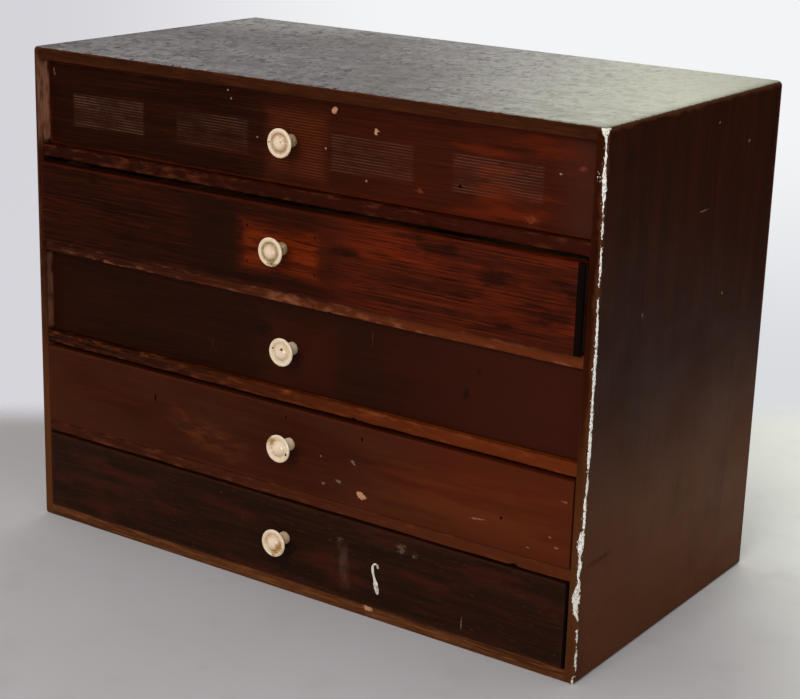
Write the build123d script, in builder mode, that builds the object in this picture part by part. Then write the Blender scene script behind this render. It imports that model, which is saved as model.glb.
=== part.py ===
"""A tabletop chest of five drawers for printing type.

The case is made of thin solid boards: two full-height sides, a top and a bottom tongued into
the sides, four drawer rails with runners behind them in housings, and a back of two boards
pinned into a rabbet. Each drawer is a shallow tray with dovetailed front corners, a
housed back, a panel bottom in grooves, three divider slips halved together, and one turned
bone knob held by a screw from inside.

Frame: millimetres, +Z up, the drawer fronts face -Y, +X is to the right of someone facing the
fronts. The origin is the middle of the case's underside.
"""

import os

from build123d import *

# ---------------------------------------------------------------- case
CASE_WIDTH = 508.0
CASE_DEPTH = 270.0
SIDE_THICKNESS = 8.0
TOP_THICKNESS = 9.5
BOTTOM_THICKNESS = 9.5
OPENING_HEIGHTS = (67.0, 67.0, 66.5, 67.0, 65.5)  # top drawer's first; no two quite alike
TOP_CORNER_RADIUS = 4.0
BOTTOM_CORNER_RADIUS = 2.5
CASE_ARRIS = 1.2  # worn edges round the outside
HOUSING_DEPTH = 3.0  # how far the boards between the sides are let into them
HOUSING_STOP = 8.0  # the housings stop this far behind the front edge
TONGUE_THICKNESS = 4.0  # of the tongues on the ends of the top and bottom

# rails and runners between the drawers
RAIL_THICKNESS = 9.5
RAIL_WIDTH = 42.0
RAIL_ARRIS = 0.8
RUNNER_WIDTH = 14.0  # the part that stands out of the side
TENON_THICKNESS = 3.0
TENON_LENGTH = 5.0

# back boards and their pins
BACK_THICKNESS = 6.0
BACK_LEDGE = 4.0  # width of the rabbet that the back boards lie in
BACK_LAP = 8.0  # how far the two boards overlap
LAP_RAIL = 2  # the boards overlap behind this rail
PIN_RADIUS = 0.7
PIN_LENGTH = 18.0
PIN_HEAD_RADIUS = 1.4
PIN_HEAD_THICKNESS = 0.6
PIN_FIT = 0.05
PINS_ACROSS = 5
PIN_INSET = 22.0  # of the outermost pins from the ends of the boards

# ---------------------------------------------------------------- drawers, top one first
TOP_GAPS = (1.0, 3.6, 1.0, 3.2, 1.7)  # shadow gap over each front
REST_RECESS = (6.5, -5.0, 5.5, -1.0, -1.0)  # how far each front stands behind the case's front
DRAWER_COUNT = len(OPENING_HEIGHTS)
SIDE_PLAY = 1.0
SLIDE_GAP = 0.3
REAR_ROOM = 1.5  # behind the drawer that is pushed in furthest
FRONT_THICKNESS = 10.0
FRONT_ARRIS = 0.8
DRAWER_SIDE_THICKNESS = 7.0
SIDE_DROP = 1.5  # the drawer sides stop this far below the front's top edge
DRAWER_BACK_THICKNESS = 7.0
BACK_INSET = 10.0  # the sides run on this far behind the drawer's back
BACK_HOUSING_DEPTH = 2.5
BACK_DROP = 3.0  # the drawer's back stops this far below the sides' top edge

# dovetails at the drawer's front corners
TAIL_COUNT = 2
TAIL_LENGTH = 6.0
TAIL_FLARE = 1.0
HALF_PIN = 4.0
FULL_PIN = 9.0

# panel bottom
PANEL_THICKNESS = 3.0
PANEL_RISE = 5.0  # the groove's lower wall above the drawer's lower edge
GROOVE_DEPTH = 3.0

# divider slips
SLIP_THICKNESS = 4.0
SLIP_DROP = 6.0  # below the top of the drawer's back
CROSS_SLIPS = 2

# knob and screw
KNOB_RADIUS = 10.8
KNOB_FOOT_RADIUS = 4.9
KNOB_FOOT_HEIGHT = 1.3
KNOB_NECK_RADIUS = 3.4
KNOB_NECK_HEIGHT = 5.3  # of the narrowest place above the drawer front
KNOB_RIM_THICKNESS = 3.0
KNOB_RIM_HEIGHT = 14.2  # of the front of the rim above the drawer front
KNOB_CREST_HEIGHT = 14.9  # of the face beside the ring groove
KNOB_PROJECTION = 16.5
DOME_RADIUS = 5.6
RING_GROOVE_WIDTH = 1.0
RING_GROOVE_DEPTH = 0.6
KNOB_OFFSETS = ((-4.4, 0.2), (-2.7, 0.9), (0.0, -1.3), (3.4, 3.6), (0.0, 2.4))  # right, up
SCREW_RADIUS = 1.75
SCREW_HEAD_RADIUS = 3.5
SCREW_SLOT_WIDTH = 0.9
SCREW_BITE = 9.0  # length of screw inside the knob
SCREW_FIT = 0.05

# ---------------------------------------------------------------- places worked out from the sizes
ALL_RAILS = (DRAWER_COUNT - 1) * RAIL_THICKNESS
CASE_HEIGHT = TOP_THICKNESS + sum(OPENING_HEIGHTS) + ALL_RAILS + BOTTOM_THICKNESS
TOP_UNDERSIDE = CASE_HEIGHT - TOP_THICKNESS

FRONT_Y = -CASE_DEPTH / 2
BACK_Y = CASE_DEPTH / 2
BACK_INNER_Y = BACK_Y - BACK_THICKNESS
HOUSING_Y = FRONT_Y + HOUSING_STOP
RAIL_BACK_Y = FRONT_Y + RAIL_WIDTH

CASE_HALF = CASE_WIDTH / 2
INNER_HALF = CASE_HALF - SIDE_THICKNESS
HOUSED_HALF = INNER_HALF + HOUSING_DEPTH
BACK_HALF = INNER_HALF + BACK_LEDGE
BACK_LOW = BOTTOM_THICKNESS - BACK_LEDGE
BACK_HIGH = TOP_UNDERSIDE + BACK_LEDGE

DRAWER_HALF = INNER_HALF - SIDE_PLAY
DRAWER_INNER_HALF = DRAWER_HALF - DRAWER_SIDE_THICKNESS
DRAWER_LENGTH = CASE_DEPTH - BACK_THICKNESS - max(REST_RECESS) - REAR_ROOM


def opening_floor(level):
    """Height of the surface that the drawer at this level slides on, 0 being the top drawer."""
    return TOP_UNDERSIDE - sum(OPENING_HEIGHTS[: level + 1]) - level * RAIL_THICKNESS


def rail_floor(level):
    """Height of the underside of the rail below the drawer at this level."""
    return opening_floor(level) - RAIL_THICKNESS


def save(builder, name):
    """Labels a finished piece and writes it to its STEP file."""
    builder.part.label = name
    export_step(builder.part, f"parts/{name}.step")


def block(low, high, mode=Mode.ADD):
    """A box between two corners, added to or cut from the piece being built."""
    with Locations(tuple((a + b) / 2 for a, b in zip(low, high))):
        Box(*(b - a for a, b in zip(low, high)), mode=mode)


def edges_along(axis, places):
    """The straight edges of the piece being built that run along an axis through given places."""
    other = [a for a in ("X", "Y", "Z") if a != axis]
    lines = [e for e in edges() if e.geom_type == GeomType.LINE and abs(getattr(e % 0.5, axis)) > 0.99]

    def lies_at(edge, place):
        centre = edge.center()
        return all(abs(getattr(centre, a) - p) < 0.01 for a, p in zip(other, place))

    return [e for e in lines if any(lies_at(e, place) for place in places)]


def back_split():
    """Height of the lower edge of the upper back board."""
    return rail_floor(LAP_RAIL)


def pin_places():
    """Where the back's pins go: (x, z) points round the rabbet, on the back of the case."""
    rim_x = (INNER_HALF + BACK_HALF) / 2
    rim_low = (BACK_LOW + BOTTOM_THICKNESS) / 2
    rim_high = (BACK_HIGH + TOP_UNDERSIDE) / 2
    spread = BACK_HALF - PIN_INSET
    across = [-spread + 2 * spread * i / (PINS_ACROSS - 1) for i in range(PINS_ACROSS)]
    middles = [opening_floor(level) + OPENING_HEIGHTS[level] / 2 for level in range(DRAWER_COUNT)]
    return [(x, z) for x in across for z in (rim_low, rim_high)] + [
        (x, z) for x in (-rim_x, rim_x) for z in middles
    ]


def pin_circles(radius):
    """Circles of one radius on the back of the case, one at each pin."""
    with BuildSketch(Plane.XZ.offset(-BACK_Y)) as circles:
        with Locations(*pin_places()):
            Circle(radius)
    return circles.sketch


def pins(fit=0.0, mode=Mode.ADD):
    """The pins with their heads flush, or with a fit and Mode.SUBTRACT the holes for them."""
    extrude(pin_circles(PIN_RADIUS + fit), amount=PIN_LENGTH + fit, mode=mode)
    extrude(pin_circles(PIN_HEAD_RADIUS + fit), amount=PIN_HEAD_THICKNESS + fit, mode=mode)


# ---------------------------------------------------------------- the case
def case_side(side):
    """A full-height side board, side -1 left or 1 right, housed for the boards that meet it."""
    outer = side * CASE_HALF
    span = sorted((outer, side * INNER_HALF))
    housing = sorted((side * INNER_HALF, side * HOUSED_HALF))
    ledge = sorted((side * INNER_HALF, side * BACK_HALF))
    tongues = [(TOP_UNDERSIDE, TONGUE_THICKNESS), (BOTTOM_THICKNESS - TONGUE_THICKNESS, TONGUE_THICKNESS)]
    rails = [(rail_floor(level), RAIL_THICKNESS) for level in range(DRAWER_COUNT - 1)]
    with BuildPart() as board:
        block((span[0], FRONT_Y, 0), (span[1], BACK_Y, CASE_HEIGHT))
        for low, height in tongues + rails:
            block((housing[0], HOUSING_Y, low), (housing[1], BACK_INNER_Y, low + height), Mode.SUBTRACT)
        block((ledge[0], BACK_INNER_Y, BACK_LOW), (ledge[1], BACK_Y, BACK_HIGH), Mode.SUBTRACT)
        fillet(edges_along("Y", [(outer, CASE_HEIGHT)]), TOP_CORNER_RADIUS)
        fillet(edges_along("Y", [(outer, 0)]), BOTTOM_CORNER_RADIUS)
        fillet(edges_along("Z", [(outer, FRONT_Y), (outer, BACK_Y)]), CASE_ARRIS)
        pins(PIN_FIT, Mode.SUBTRACT)
    return board


def case_top():
    """The top board between the sides, with a tongue each end and a rabbet for the back."""
    tongue_high = TOP_UNDERSIDE + TONGUE_THICKNESS
    with BuildPart() as board:
        block((-INNER_HALF, FRONT_Y, TOP_UNDERSIDE), (INNER_HALF, BACK_Y, CASE_HEIGHT))
        block((-HOUSED_HALF, HOUSING_Y, TOP_UNDERSIDE), (HOUSED_HALF, BACK_INNER_Y, tongue_high))
        block((-INNER_HALF, BACK_INNER_Y, TOP_UNDERSIDE), (INNER_HALF, BACK_Y, BACK_HIGH), Mode.SUBTRACT)
        fillet(edges_along("X", [(FRONT_Y, CASE_HEIGHT), (BACK_Y, CASE_HEIGHT)]), CASE_ARRIS)
        pins(PIN_FIT, Mode.SUBTRACT)
    return board


def case_bottom():
    """The bottom board between the sides, with a tongue each end and a rabbet for the back."""
    tongue_low = BOTTOM_THICKNESS - TONGUE_THICKNESS
    with BuildPart() as board:
        block((-INNER_HALF, FRONT_Y, 0), (INNER_HALF, BACK_Y, BOTTOM_THICKNESS))
        block((-HOUSED_HALF, HOUSING_Y, tongue_low), (HOUSED_HALF, BACK_INNER_Y, BOTTOM_THICKNESS))
        block((-INNER_HALF, BACK_INNER_Y, BACK_LOW), (INNER_HALF, BACK_Y, BOTTOM_THICKNESS), Mode.SUBTRACT)
        fillet(edges_along("X", [(FRONT_Y, 0)]), CASE_ARRIS)
        pins(PIN_FIT, Mode.SUBTRACT)
    return board


def back_board_lower():
    """The lower back board; behind the lap only the inner half of its thickness is left."""
    high = back_split() + BACK_LAP
    lap_y = BACK_INNER_Y + BACK_THICKNESS / 2
    with BuildPart() as board:
        block((-BACK_HALF, BACK_INNER_Y, BACK_LOW), (BACK_HALF, BACK_Y, high))
        block((-BACK_HALF, lap_y, back_split()), (BACK_HALF, BACK_Y, high), Mode.SUBTRACT)
        pins(PIN_FIT, Mode.SUBTRACT)
    return board


def back_board_upper():
    """The upper back board, whose lap is the outer half of the thickness."""
    low = back_split()
    lap_y = BACK_INNER_Y + BACK_THICKNESS / 2
    with BuildPart() as board:
        block((-BACK_HALF, BACK_INNER_Y, low), (BACK_HALF, BACK_Y, BACK_HIGH))
        block((-BACK_HALF, BACK_INNER_Y, low), (BACK_HALF, lap_y, low + BACK_LAP), Mode.SUBTRACT)
        pins(PIN_FIT, Mode.SUBTRACT)
    return board


def back_pins():
    """The wire pins that hold the back boards, all separate solids."""
    with BuildPart() as wires:
        pins()
    return wires


def rail(level):
    """The rail under the drawer at this level, grooved behind for its runners' tenons."""
    low = rail_floor(level)
    high = low + RAIL_THICKNESS
    groove_low = low + (RAIL_THICKNESS - TENON_THICKNESS) / 2
    groove_y = RAIL_BACK_Y - TENON_LENGTH
    with BuildPart() as board:
        block((-INNER_HALF, FRONT_Y, low), (INNER_HALF, RAIL_BACK_Y, high))
        block((-HOUSED_HALF, HOUSING_Y, low), (HOUSED_HALF, RAIL_BACK_Y, high))
        block(
            (-HOUSED_HALF, groove_y, groove_low),
            (HOUSED_HALF, RAIL_BACK_Y, groove_low + TENON_THICKNESS),
            Mode.SUBTRACT,
        )
        fillet(edges_along("X", [(FRONT_Y, low), (FRONT_Y, high)]), RAIL_ARRIS)
    return board


def runners(level):
    """The pair of runners behind a rail, two separate strips with stub tenons in the rail."""
    low = rail_floor(level)
    tenon_low = low + (RAIL_THICKNESS - TENON_THICKNESS) / 2
    with BuildPart() as strips:
        for side in (-1, 1):
            span = sorted((side * HOUSED_HALF, side * (INNER_HALF - RUNNER_WIDTH)))
            block((span[0], RAIL_BACK_Y, low), (span[1], BACK_INNER_Y, low + RAIL_THICKNESS))
            block(
                (span[0], RAIL_BACK_Y - TENON_LENGTH, tenon_low),
                (span[1], RAIL_BACK_Y, tenon_low + TENON_THICKNESS),
            )
    return strips


# ---------------------------------------------------------------- the drawers
class Drawer:
    """The places that one drawer's pieces share. Level 0 is the top drawer."""

    def __init__(self, level):
        self.low = opening_floor(level) + SLIDE_GAP
        self.high = opening_floor(level) + OPENING_HEIGHTS[level] - TOP_GAPS[level]
        self.side_high = self.high - SIDE_DROP
        self.front_y = FRONT_Y + REST_RECESS[level]
        self.inner_front_y = self.front_y + FRONT_THICKNESS
        self.rear_y = self.front_y + DRAWER_LENGTH
        self.back_rear_y = self.rear_y - BACK_INSET
        self.back_front_y = self.back_rear_y - DRAWER_BACK_THICKNESS
        self.panel_low = self.low + PANEL_RISE
        self.panel_high = self.panel_low + PANEL_THICKNESS
        self.back_high = self.side_high - BACK_DROP
        self.slip_high = self.back_high - SLIP_DROP
        self.slip_half_high = (self.panel_high + self.slip_high) / 2
        self.knob_x, knob_lift = KNOB_OFFSETS[level]
        self.knob_z = (self.low + self.high) / 2 + knob_lift

    def tails(self):
        """The (low, high) heights of each dovetail at its root."""
        room = self.side_high - self.low - 2 * HALF_PIN - (TAIL_COUNT - 1) * FULL_PIN
        width = room / TAIL_COUNT
        lows = [self.low + HALF_PIN + i * (width + FULL_PIN) for i in range(TAIL_COUNT)]
        return [(low, low + width) for low in lows]

    def tail_sketch(self, side):
        """The tails' outlines on a plane that faces +X, on the face of this side nearer -X."""
        tip = self.inner_front_y - TAIL_LENGTH
        with BuildSketch(Plane.YZ.offset(min(side * DRAWER_HALF, side * DRAWER_INNER_HALF))) as outlines:
            for low, high in self.tails():
                with BuildLine():
                    Polyline(
                        (self.inner_front_y, low),
                        (tip, low - TAIL_FLARE),
                        (tip, high + TAIL_FLARE),
                        (self.inner_front_y, high),
                        close=True,
                    )
                make_face()
        return outlines.sketch

    def cut_panel_groove(self, low_x, high_x, low_y, high_y):
        """Cuts the bottom panel's groove out of the piece being built."""
        block((low_x, low_y, self.panel_low), (high_x, high_y, self.panel_high), Mode.SUBTRACT)

    def screw(self, fit=0.0, mode=Mode.ADD):
        """The knob's screw with its countersunk head, or with a fit the hole for it."""
        radius = SCREW_RADIUS + fit
        length = FRONT_THICKNESS + SCREW_BITE + fit
        head_depth = SCREW_HEAD_RADIUS - SCREW_RADIUS
        inner_face = Plane((self.knob_x, self.inner_front_y, self.knob_z), z_dir=(0, 1, 0))
        with Locations(inner_face.offset(-length / 2)):
            Cylinder(radius, length, mode=mode)
        with Locations(inner_face.offset(-head_depth / 2)):
            Cone(radius, radius + head_depth, head_depth, mode=mode)


def drawer_front(drawer):
    """The drawer front, with blind dovetail sockets, the panel's groove and the knob's hole."""
    with BuildPart() as board:
        block((-DRAWER_HALF, drawer.front_y, drawer.low), (DRAWER_HALF, drawer.inner_front_y, drawer.high))
        for side in (-1, 1):
            extrude(drawer.tail_sketch(side), amount=DRAWER_SIDE_THICKNESS, mode=Mode.SUBTRACT)
        drawer.cut_panel_groove(
            -DRAWER_INNER_HALF, DRAWER_INNER_HALF, drawer.inner_front_y - GROOVE_DEPTH, drawer.inner_front_y
        )
        drawer.screw(SCREW_FIT, Mode.SUBTRACT)
        front_edges = edges_along("X", [(drawer.front_y, drawer.low), (drawer.front_y, drawer.high)])
        front_edges += edges_along("Z", [(-DRAWER_HALF, drawer.front_y), (DRAWER_HALF, drawer.front_y)])
        fillet(front_edges, FRONT_ARRIS)
    return board


def drawer_side(drawer, side):
    """A drawer side, side -1 left or 1 right, with its tails, panel groove and back housing."""
    span = sorted((side * DRAWER_HALF, side * DRAWER_INNER_HALF))
    groove = sorted((side * DRAWER_INNER_HALF, side * (DRAWER_INNER_HALF + GROOVE_DEPTH)))
    housing = sorted((side * DRAWER_INNER_HALF, side * (DRAWER_INNER_HALF + BACK_HOUSING_DEPTH)))
    with BuildPart() as board:
        block((span[0], drawer.inner_front_y, drawer.low), (span[1], drawer.rear_y, drawer.side_high))
        extrude(drawer.tail_sketch(side), amount=DRAWER_SIDE_THICKNESS)
        drawer.cut_panel_groove(*groove, drawer.inner_front_y, drawer.rear_y)
        block(
            (housing[0], drawer.back_front_y, drawer.panel_high),
            (housing[1], drawer.back_rear_y, drawer.side_high),
            Mode.SUBTRACT,
        )
    return board


def drawer_back(drawer):
    """The drawer's back, standing on the panel and housed in the sides."""
    half = DRAWER_INNER_HALF + BACK_HOUSING_DEPTH
    with BuildPart() as board:
        block(
            (-half, drawer.back_front_y, drawer.panel_high),
            (half, drawer.back_rear_y, drawer.back_high),
        )
    return board


def drawer_bottom(drawer):
    """The thin bottom panel, in grooves in the front and sides and under the back."""
    half = DRAWER_INNER_HALF + GROOVE_DEPTH
    with BuildPart() as panel:
        block((-half, drawer.inner_front_y, drawer.panel_low), (half, drawer.back_rear_y, drawer.panel_high))
        block(
            (-DRAWER_INNER_HALF, drawer.inner_front_y - GROOVE_DEPTH, drawer.panel_low),
            (DRAWER_INNER_HALF, drawer.inner_front_y, drawer.panel_high),
        )
    return panel


def cross_slip_places():
    """The x positions of the slips that run from front to back, evenly spaced."""
    step = 2 * DRAWER_INNER_HALF / (CROSS_SLIPS + 1)
    return [-DRAWER_INNER_HALF + step * (i + 1) for i in range(CROSS_SLIPS)]


def long_slip(drawer):
    """The divider slip along the drawer, notched from above for the cross slips."""
    middle = (drawer.inner_front_y + drawer.back_front_y) / 2
    near, far = middle - SLIP_THICKNESS / 2, middle + SLIP_THICKNESS / 2
    with BuildPart() as slip:
        block((-DRAWER_INNER_HALF, near, drawer.panel_high), (DRAWER_INNER_HALF, far, drawer.slip_high))
        for x in cross_slip_places():
            left, right = x - SLIP_THICKNESS / 2, x + SLIP_THICKNESS / 2
            block((left, near, drawer.slip_half_high), (right, far, drawer.slip_high), Mode.SUBTRACT)
    return slip


def cross_slips(drawer):
    """The divider slips from front to back, notched from below over the long slip."""
    middle = (drawer.inner_front_y + drawer.back_front_y) / 2
    near, far = middle - SLIP_THICKNESS / 2, middle + SLIP_THICKNESS / 2
    with BuildPart() as slips:
        for x in cross_slip_places():
            left, right = x - SLIP_THICKNESS / 2, x + SLIP_THICKNESS / 2
            low_corner = (left, drawer.inner_front_y, drawer.panel_high)
            block(low_corner, (right, drawer.back_front_y, drawer.slip_high))
            block((left, near, drawer.panel_high), (right, far, drawer.slip_half_high), Mode.SUBTRACT)
    return slips


# ---------------------------------------------------------------- knobs
def knob(drawer):
    """A turned bone knob: flared foot, waist, rounded rim and a low dome within a ring groove.

    The profile is drawn with x away from the knob's axis and y towards the drawer, 0 at its front.
    """
    axis_point = (drawer.knob_x, drawer.front_y, drawer.knob_z)
    foot_top = (KNOB_FOOT_RADIUS, -KNOB_FOOT_HEIGHT)
    rim_x = KNOB_RADIUS - KNOB_RIM_THICKNESS / 2
    rim_back_y = -KNOB_RIM_HEIGHT + KNOB_RIM_THICKNESS
    groove_x = DOME_RADIUS + RING_GROOVE_WIDTH
    groove_y = -KNOB_CREST_HEIGHT + RING_GROOVE_DEPTH
    with BuildPart() as turned:
        with BuildSketch(Plane(axis_point, x_dir=(1, 0, 0), z_dir=(0, 0, 1))):
            with BuildLine():
                Polyline((0, -KNOB_PROJECTION), (0, 0), (KNOB_FOOT_RADIUS, 0), foot_top)
                ThreePointArc(foot_top, (KNOB_NECK_RADIUS, -KNOB_NECK_HEIGHT), (rim_x, rim_back_y))
                TangentArc((rim_x, rim_back_y), (rim_x, -KNOB_RIM_HEIGHT), tangent=(1, 0))
                Line((rim_x, -KNOB_RIM_HEIGHT), (groove_x, -KNOB_CREST_HEIGHT))
                ThreePointArc(
                    (groove_x, -KNOB_CREST_HEIGHT),
                    (groove_x - RING_GROOVE_WIDTH / 2, groove_y),
                    (DOME_RADIUS, -KNOB_CREST_HEIGHT),
                )
                TangentArc((0, -KNOB_PROJECTION), (DOME_RADIUS, -KNOB_CREST_HEIGHT), tangent=(1, 0))
            make_face()
        revolve(axis=Axis(axis_point, (0, 1, 0)))
        drawer.screw(SCREW_FIT, Mode.SUBTRACT)
    return turned


def knob_screw(drawer):
    """The screw through the drawer front into the knob, with its driver slot."""
    slot_half = SCREW_SLOT_WIDTH / 2
    left, right = drawer.knob_x - SCREW_HEAD_RADIUS, drawer.knob_x + SCREW_HEAD_RADIUS
    low_corner = (left, drawer.inner_front_y - SCREW_SLOT_WIDTH, drawer.knob_z - slot_half)
    with BuildPart() as screw:
        drawer.screw()
        block(low_corner, (right, drawer.inner_front_y, drawer.knob_z + slot_half), Mode.SUBTRACT)
    return screw


# ---------------------------------------------------------------- build everything
os.makedirs("parts", exist_ok=True)

save(case_side(-1), "left_side")
save(case_side(1), "right_side")
save(case_top(), "top_board")
save(case_bottom(), "bottom_board")
save(back_board_lower(), "back_board_lower")
save(back_board_upper(), "back_board_upper")
save(back_pins(), "back_pins")

for level in range(DRAWER_COUNT - 1):
    save(rail(level), f"rail_{level + 1}")
    save(runners(level), f"runners_{level + 1}")

for level in range(DRAWER_COUNT):
    drawer = Drawer(level)
    prefix = f"drawer_{level + 1}"
    save(drawer_front(drawer), f"{prefix}_front")
    save(drawer_side(drawer, -1), f"{prefix}_left_side")
    save(drawer_side(drawer, 1), f"{prefix}_right_side")
    save(drawer_back(drawer), f"{prefix}_back")
    save(drawer_bottom(drawer), f"{prefix}_bottom")
    save(long_slip(drawer), f"{prefix}_long_divider")
    save(cross_slips(drawer), f"{prefix}_cross_dividers")
    save(knob(drawer), f"{prefix}_knob")
    save(knob_screw(drawer), f"{prefix}_knob_screw")
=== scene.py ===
"""A tabletop chest of five shallow drawers with turned bone knobs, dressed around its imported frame.

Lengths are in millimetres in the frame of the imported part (X right, Y from the fronts to the back,
Z up), and make_object turns them into metres. The studio's camera, lamps and table are placed in
metres.
"""

from __future__ import annotations

import logging
from collections.abc import Callable
from dataclasses import dataclass, replace
from enum import Enum
from functools import partial

import bpy
import numpy as np
from mathutils import Matrix, Vector


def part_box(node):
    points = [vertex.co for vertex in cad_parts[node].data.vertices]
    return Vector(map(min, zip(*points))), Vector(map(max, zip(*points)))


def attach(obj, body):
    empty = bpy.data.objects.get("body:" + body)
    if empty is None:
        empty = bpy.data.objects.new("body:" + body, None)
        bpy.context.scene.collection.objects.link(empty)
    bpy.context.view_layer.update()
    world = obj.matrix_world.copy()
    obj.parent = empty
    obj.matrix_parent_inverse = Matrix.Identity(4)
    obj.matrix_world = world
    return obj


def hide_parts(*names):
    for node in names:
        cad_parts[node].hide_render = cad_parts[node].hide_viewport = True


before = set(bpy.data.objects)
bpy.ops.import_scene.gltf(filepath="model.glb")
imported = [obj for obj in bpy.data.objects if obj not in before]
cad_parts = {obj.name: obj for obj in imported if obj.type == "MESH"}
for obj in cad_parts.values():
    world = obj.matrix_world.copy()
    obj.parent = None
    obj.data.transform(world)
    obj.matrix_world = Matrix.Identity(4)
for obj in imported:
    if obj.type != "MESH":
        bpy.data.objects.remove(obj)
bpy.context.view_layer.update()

log = logging.getLogger("cabinet")

Socket = bpy.types.NodeSocket
Array = np.ndarray
MILLIMETRES = 1000.0


def linear(code: str) -> tuple[float, float, float, float]:
    """Turn an sRGB hex colour into linear light.

    Args:
        code: the colour, such as "#8a5a2b".

    Returns:
        Red, green, blue and alpha.
    """
    channels = np.array([int(code[i : i + 2], 16) for i in (1, 3, 5)]) / 255.0
    bent = ((channels + 0.055) / 1.055) ** 2.4
    return (*np.where(channels <= 0.04045, channels / 12.92, bent).tolist(), 1.0)


def add_node(
    tree: bpy.types.NodeTree,
    kind: str,
    *values: object,
    out: int = 0,
    named: dict[str, object] | None = None,
    **settings: object,
) -> Socket:
    """Add a node with its settings, and fill its inputs.

    Args:
        tree: the node tree.
        kind: the node's type.
        values: one for each live input in order: a socket is linked, anything else is set, and
            None is left alone.
        out: which of the live outputs is wanted.
        named: the same for inputs given by name.
        settings: the node's own properties.

    Returns:
        The output socket.
    """
    node = tree.nodes.new(kind)
    for name, value in settings.items():
        setattr(node, name, value)
    live = [socket for socket in node.inputs if socket.enabled]
    pairs = list(zip(live, values)) + [(node.inputs[n], v) for n, v in (named or {}).items()]
    for socket, value in pairs:
        if isinstance(value, Socket):
            tree.links.new(value, socket)
        elif value is not None:
            socket.default_value = value
    return [socket for socket in node.outputs if socket.enabled][out] if node.outputs else None


def wander(along: Array, pitch: float, seed: int) -> Array:
    """Smooth random levels from 0 to 1 along a line.

    A level is drawn at each knot, a pitch apart, and eased from knot to knot by 3t² - 2t³.

    Args:
        along: places on the line, in mm.
        pitch: the knots' distance, in mm.
        seed: which levels are drawn.

    Returns:
        A level for each place.
    """
    scaled = (along - along.min()) / pitch
    levels = np.random.default_rng(seed).random(int(scaled.max()) + 2)
    knot = scaled.astype(int)
    t = scaled - knot
    eased = t * t * (3.0 - 2.0 * t)
    return levels[knot] * (1.0 - eased) + levels[knot + 1] * eased


def patchy(u: Array, v: Array, pitch: tuple[float, float], seed: int) -> Array:
    """Smooth random levels from 0 to 1 over a sheet.

    A level is drawn at each corner of a lattice, and blended over each cell by 3t² - 2t³ both ways.

    Args:
        u: places along one way, in mm.
        v: places along the other, of the same shape.
        pitch: the lattice's distance each way, in mm.
        seed: which levels are drawn.

    Returns:
        A level for each place.
    """
    a, b = (u - u.min()) / pitch[0], (v - v.min()) / pitch[1]
    i, j = a.astype(int), b.astype(int)
    levels = np.random.default_rng(seed).random((i.max() + 2, j.max() + 2))
    s, t = a - i, b - j
    s, t = s * s * (3.0 - 2.0 * s), t * t * (3.0 - 2.0 * t)
    near = levels[i, j] * (1.0 - s) + levels[i + 1, j] * s
    far = levels[i, j + 1] * (1.0 - s) + levels[i + 1, j + 1] * s
    return near * (1.0 - t) + far * t


def make_object(name: str, rings: Array, mark: tuple[str, Array] | None = None) -> bpy.types.Object:
    """Close a stack of rings into one solid skin.

    Each ring joins the next by four-cornered faces, and the first and last are capped. The skin
    is turned outwards: its volume, the sum of each face's corner triple products, must be above 0.

    Args:
        name: the object's name.
        rings: points in mm, as rings x points x 3.
        mark: a named value for each point, as rings x points.

    Returns:
        The object, at the origin, in metres.
    """
    count, size = rings.shape[:2]
    at = np.arange(count * size).reshape(count, size)
    turned = np.roll(at, -1, axis=1)
    quads = np.stack([at[:-1], turned[:-1], turned[1:], at[1:]], axis=-1).reshape(-1, 4)
    points = rings.reshape(-1, 3) / MILLIMETRES
    middle = points - points.mean(axis=0)
    a, b, c, d = (middle[quads[:, k]] for k in range(4))
    volume = np.einsum("ij,ij->i", a, np.cross(b, c)) + np.einsum("ij,ij->i", a, np.cross(c, d))
    inward = volume.sum() < 0.0
    loops = np.concatenate([quads.ravel(), at[0][::-1], at[-1]])
    if inward:
        loops = np.concatenate([quads[:, ::-1].ravel(), at[0], at[-1][::-1]])
    totals = np.concatenate([np.full(len(quads), 4), [size, size]])
    mesh = bpy.data.meshes.new(name)
    mesh.vertices.add(len(points))
    mesh.vertices.foreach_set("co", points.astype(np.float32).ravel())
    mesh.loops.add(len(loops))
    mesh.loops.foreach_set("vertex_index", loops.astype(np.int32))
    mesh.polygons.add(len(totals))
    mesh.polygons.foreach_set("loop_start", (np.cumsum(totals) - totals).astype(np.int32))
    mesh.polygons.foreach_set("loop_total", totals.astype(np.int32))
    mesh.polygons.foreach_set("use_smooth", np.ones(len(totals), bool))
    mesh.update(calc_edges=True)
    mesh.validate()
    if mark is not None:
        layer = mesh.attributes.new(mark[0], "FLOAT", "POINT")
        layer.data.foreach_set("value", mark[1].astype(np.float32).ravel())
    made = bpy.data.objects.new(name, mesh)
    bpy.context.scene.collection.objects.link(made)
    return made


def turn_rings(profile: Array, centre: tuple[float, float, float], sides: int) -> Array:
    """Turn a profile about a line along Y, as on a lathe.

    Point k of ring j is centre + (r cos a, h, r sin a), with a = 2 pi k / sides.

    Args:
        profile: radius and height along Y for each ring, in mm.
        centre: the point on the axis where the height is 0.
        sides: points in a ring.

    Returns:
        The rings.
    """
    angle = np.linspace(0.0, 2.0 * np.pi, sides, endpoint=False)[None, :]
    radius, height = profile[:, :1], profile[:, 1:]
    x = centre[0] + radius * np.cos(angle)
    y = centre[1] + height + 0.0 * angle
    z = centre[2] + radius * np.sin(angle)
    return np.stack([x, y, z], axis=-1)


def box_mm(node: str) -> tuple[Array, Array]:
    """The lowest and highest corner of a CAD node, in mm."""
    low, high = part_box(node)
    return np.array(low) * MILLIMETRES, np.array(high) * MILLIMETRES


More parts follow.
